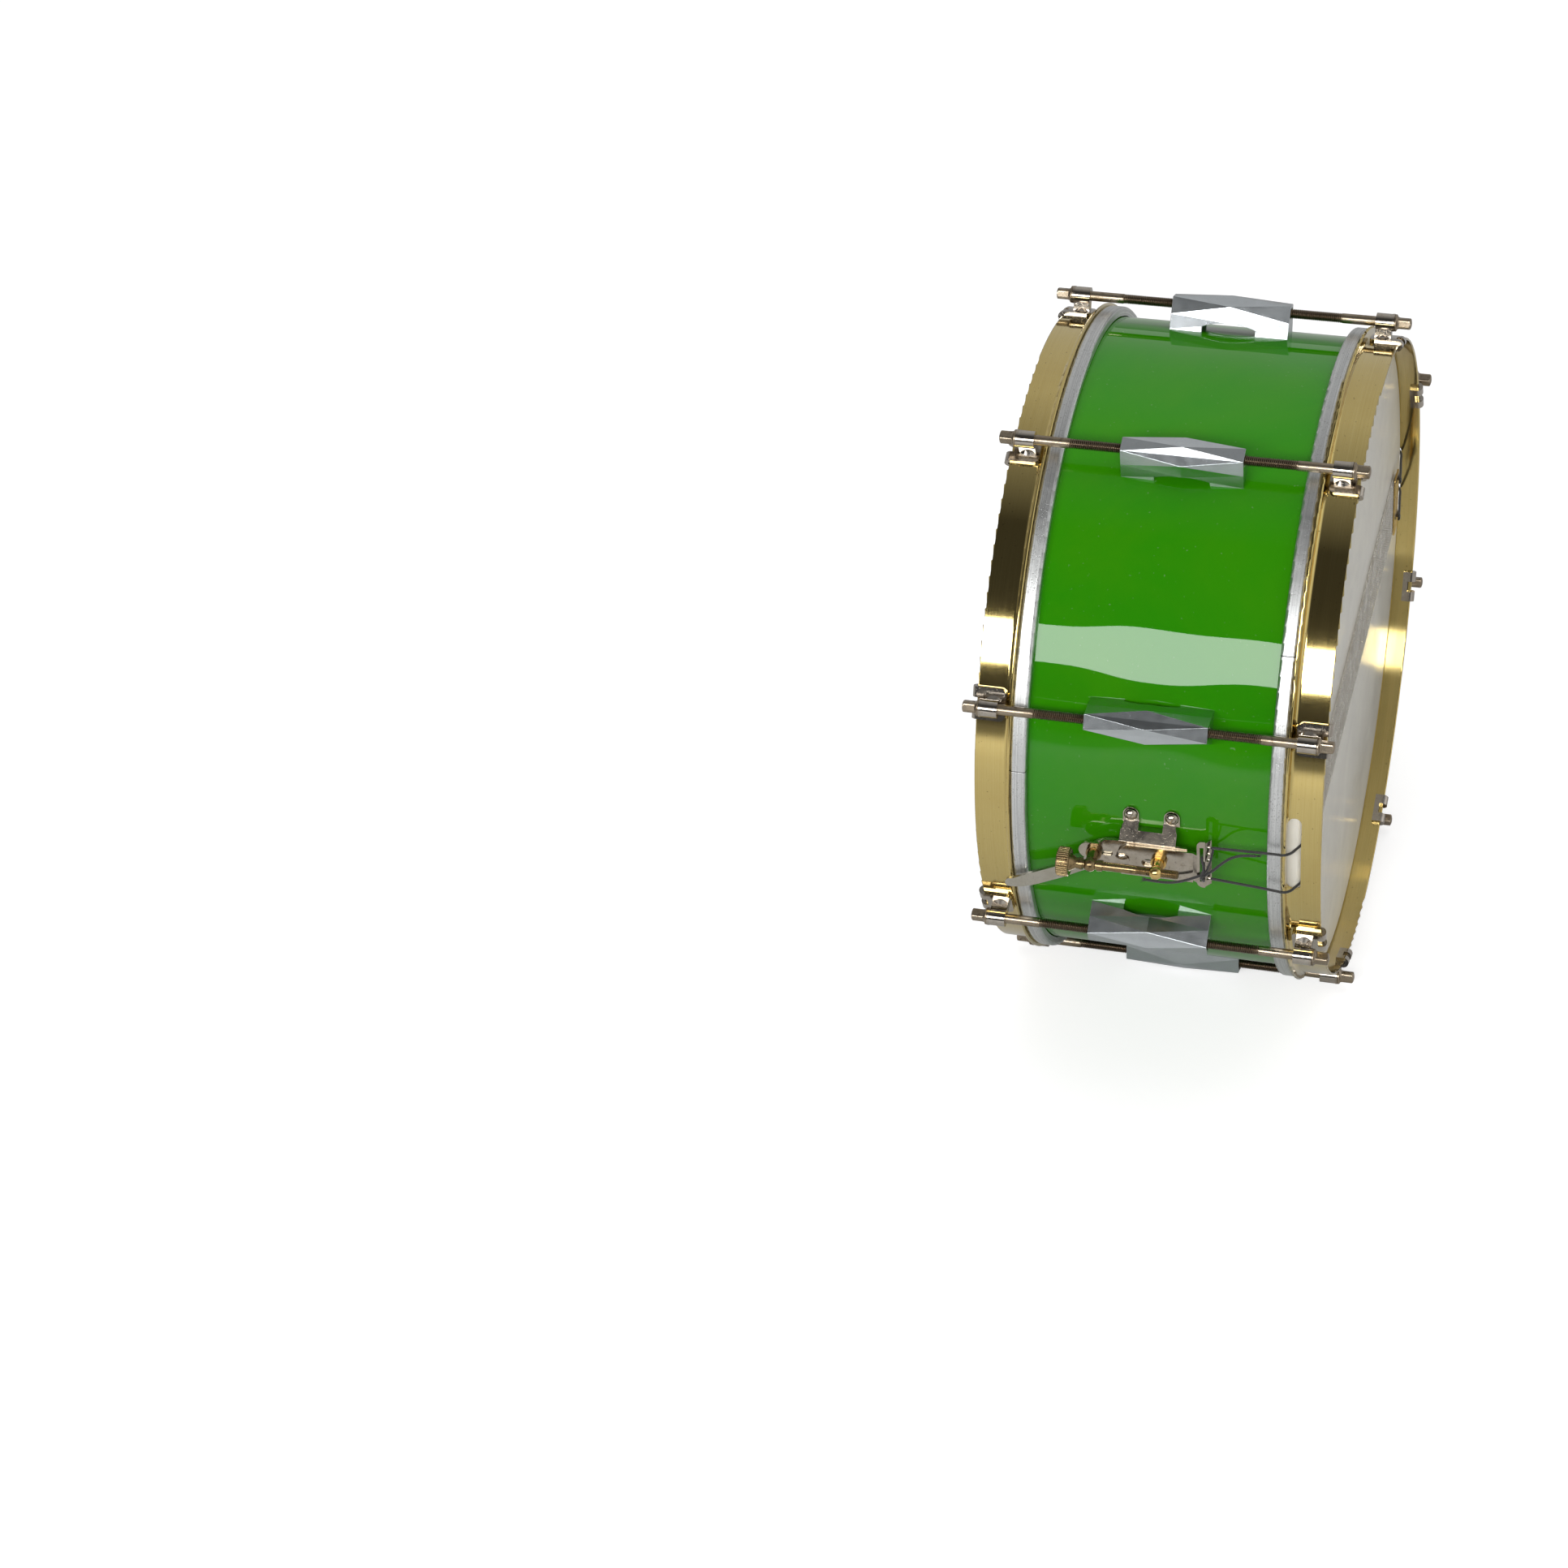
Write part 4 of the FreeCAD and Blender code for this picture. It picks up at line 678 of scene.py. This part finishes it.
def bending(name, shapes, angle, node):
    """A piece of cord on no body, with its place baked into its points, standing for the CAD cords."""
    made = cord_piece(name, shapes, angle, None)
    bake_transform(made)
    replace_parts(made, node)


def taut_cords(side, routes, angle, outer_bodies):
    """Cords from their anchor over the flange and down to the strip, and the knots at their ends."""
    node = f"snare_cords_{side}"
    outer, inner, knots = [], [], []
    for route in routes:
        path = spline_points(route)
        lip = int(np.argmin(np.linalg.norm(path[:, :2] - LIP_PLACE, axis=1)))
        outer.append(braid(path[:lip + 1]))
        inner.append(braid(path[lip:]))
        knots.append(knot((*KNOT_PLACE, route[-1][2])))
    if outer_bodies:
        bending(f"{side}_cords_outside", outer, angle, node)
    else:
        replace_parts(cord_piece(f"{side}_cords_outside", outer, angle, "drum"), node)
    bending(f"{side}_cords_inside", inner, angle, node)
    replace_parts(cord_piece(f"{side}_cord_knots", knots, angle, "snares"), node)


taut_cords("front", FRONT_ROUTES, STRAINER_TURN, ("carriage", "drum"))
taut_cords("back", BACK_ROUTES, BUTT_TURN, None)

EAR_WRAPS = ([(32.4, 4.6, -4.2), (34.6, 4.9, -1.0), (36.2, 3.6, 3.6), (37.4, 1.9, 9.0), (37.9, 1.6, 13.0)],
             [(32.0, 4.5, -4.6), (33.2, 5.4, -1.2), (33.4, 4.6, 2.6), (32.0, 3.0, 5.4), (31.9, 1.2, 6.4)],
             [(31.6, 4.4, -4.2), (33.6, 5.6, -6.2), (33.4, 4.6, -8.2), (32.2, 2.6, -9.0), (32.0, 1.4, -8.9)])
wraps = [knot((32.6, BACK_FACE + 5.0, -4.3), size=2.3, radius=0.66)]
wraps += [braid(spline_points(np.array(route) + (0, BACK_FACE, 0)), 0.62, 16) for route in EAR_WRAPS]
cord_piece("ear_knot", wraps, STRAINER_TURN, "slider")

TAILS = {"upper": [(33.2, 4.6, -4.4), (38.4, 4.6, 0.4), (43.2, 4.2, 6.4), (48.4, 3.4, 10.6),
                   (54.4, 2.8, 12.6), (61.0, 2.4, 12.8)],
         "lower": [(31.6, 4.4, -4.2), (26.0, 4.8, -7.4), (19.5, 5.2, -10.2), (12.5, 5.6, -11.6),
                   (2.4, 5.8, -10.8)]}
for name, corners in TAILS.items():
    route = spline_points(np.array(corners) + (0, BACK_FACE, 0))
    direction = (route[-1] - route[-4]) / np.linalg.norm(route[-1] - route[-4])
    tail = cord_piece(f"loose_tail_{name}", [braid(route)], STRAINER_TURN, "slider")
    fibres = cord_piece(f"frayed_end_{name}", fray(route[-1], direction), STRAINER_TURN, "slider")
    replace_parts(tail, f"cord_tail_{name}")

# ---- floor, light and camera ------------------------------------------------------------------
# A white studio sweep: a pale floor, a white surround behind the drum and to its right, a long
# softbox in front of it and above, and a big one overhead that leaves no reflection.
CAMERA_PLACE = DRUM_MIDDLE + Vector((0.33324, -1.82206, 1.38659))
CAMERA_AXES = ((0.96337, 0.26072, -0.06274), (-0.11609, 0.61639, 0.77883), (0.24173, -0.74303, 0.62408))

floor_mesh = bpy.data.meshes.new("floor")
floor_mesh.from_pydata([(-9, -9, 0), (9, -9, 0), (9, 9, 0), (-9, 9, 0)], [], [(0, 1, 2, 3)])
floor = bpy.data.objects.new("floor", floor_mesh)
scene.collection.objects.link(floor)
pale, tree, shader, place = new_material("pale_floor")
shader.inputs["Base Color"].default_value = (0.52, 0.52, 0.52, 1)
shader.inputs["Roughness"].default_value = 0.8
shader.inputs["Specular IOR Level"].default_value = 0.0
shader.inputs["Emission Color"].default_value = (1, 1, 1, 1)
tree.links.new(maths(tree, "MULTIPLY", add(tree, "LightPath").outputs["Is Camera Ray"], 0.62),
               shader.inputs["Emission Strength"])
floor_mesh.materials.append(pale)


def softbox(name, target, direction, distance, width, height, power, roll=0.0):
    """An area light that faces the target from a direction, turned by roll degrees."""
    data = bpy.data.lights.new(name, "AREA")
    data.shape = "RECTANGLE"
    data.size, data.size_y = width, height
    data.energy = power
    lamp = bpy.data.objects.new(name, data)
    scene.collection.objects.link(lamp)
    toward = Vector(direction).normalized()
    lamp.location = Vector(target) + toward * distance
    facing = toward.to_track_quat("Z", "Y").to_matrix()
    lamp.rotation_euler = (Matrix.Rotation(math.radians(roll), 3, toward) @ facing).to_euler()
    return lamp


softbox("front_strip", DRUM_MIDDLE, (-0.14, -0.86, 0.50), 2.6, 2.8, 0.66, 60, roll=14)
overhead = softbox("overhead", DRUM_MIDDLE, (0.10, 0.25, 1.0), 3.0, 4.0, 3.0, 50)
overhead.visible_glossy = False

world = bpy.data.worlds.new("studio")
scene.world = world
world.use_nodes = True
tree = world.node_tree
background = tree.nodes["Background"]
heading = add(tree, "SeparateXYZ", {0: add(tree, "TexCoord").outputs["Generated"]}).outputs
rear = remap(tree, heading[1], -0.30, 0.60, 0.05, 0.52)
low_front = remap(tree, heading[2], 0.03, -0.12, 0.0, 0.42)
right = remap(tree, heading[0], 0.25, 0.80, 0.0, 0.85)
level = maths(tree, "MAXIMUM", maths(tree, "MAXIMUM", rear, right), low_front)
seen = add(tree, "LightPath").outputs["Is Camera Ray"]
level = add(tree, "Mix", {0: seen, 2: level, 3: 1.0}).outputs[0]
tree.links.new(level, background.inputs["Strength"])
background.inputs["Color"].default_value = (1, 1, 1, 1)

lens = bpy.data.cameras.new("camera")
lens.lens = 92.82
lens.sensor_width = 36.0
camera = bpy.data.objects.new("camera", lens)
scene.collection.objects.link(camera)
camera.matrix_world = Matrix.Translation(CAMERA_PLACE) @ Matrix(CAMERA_AXES).transposed().to_4x4()
scene.camera = camera
scene.view_settings.view_transform = "Standard"
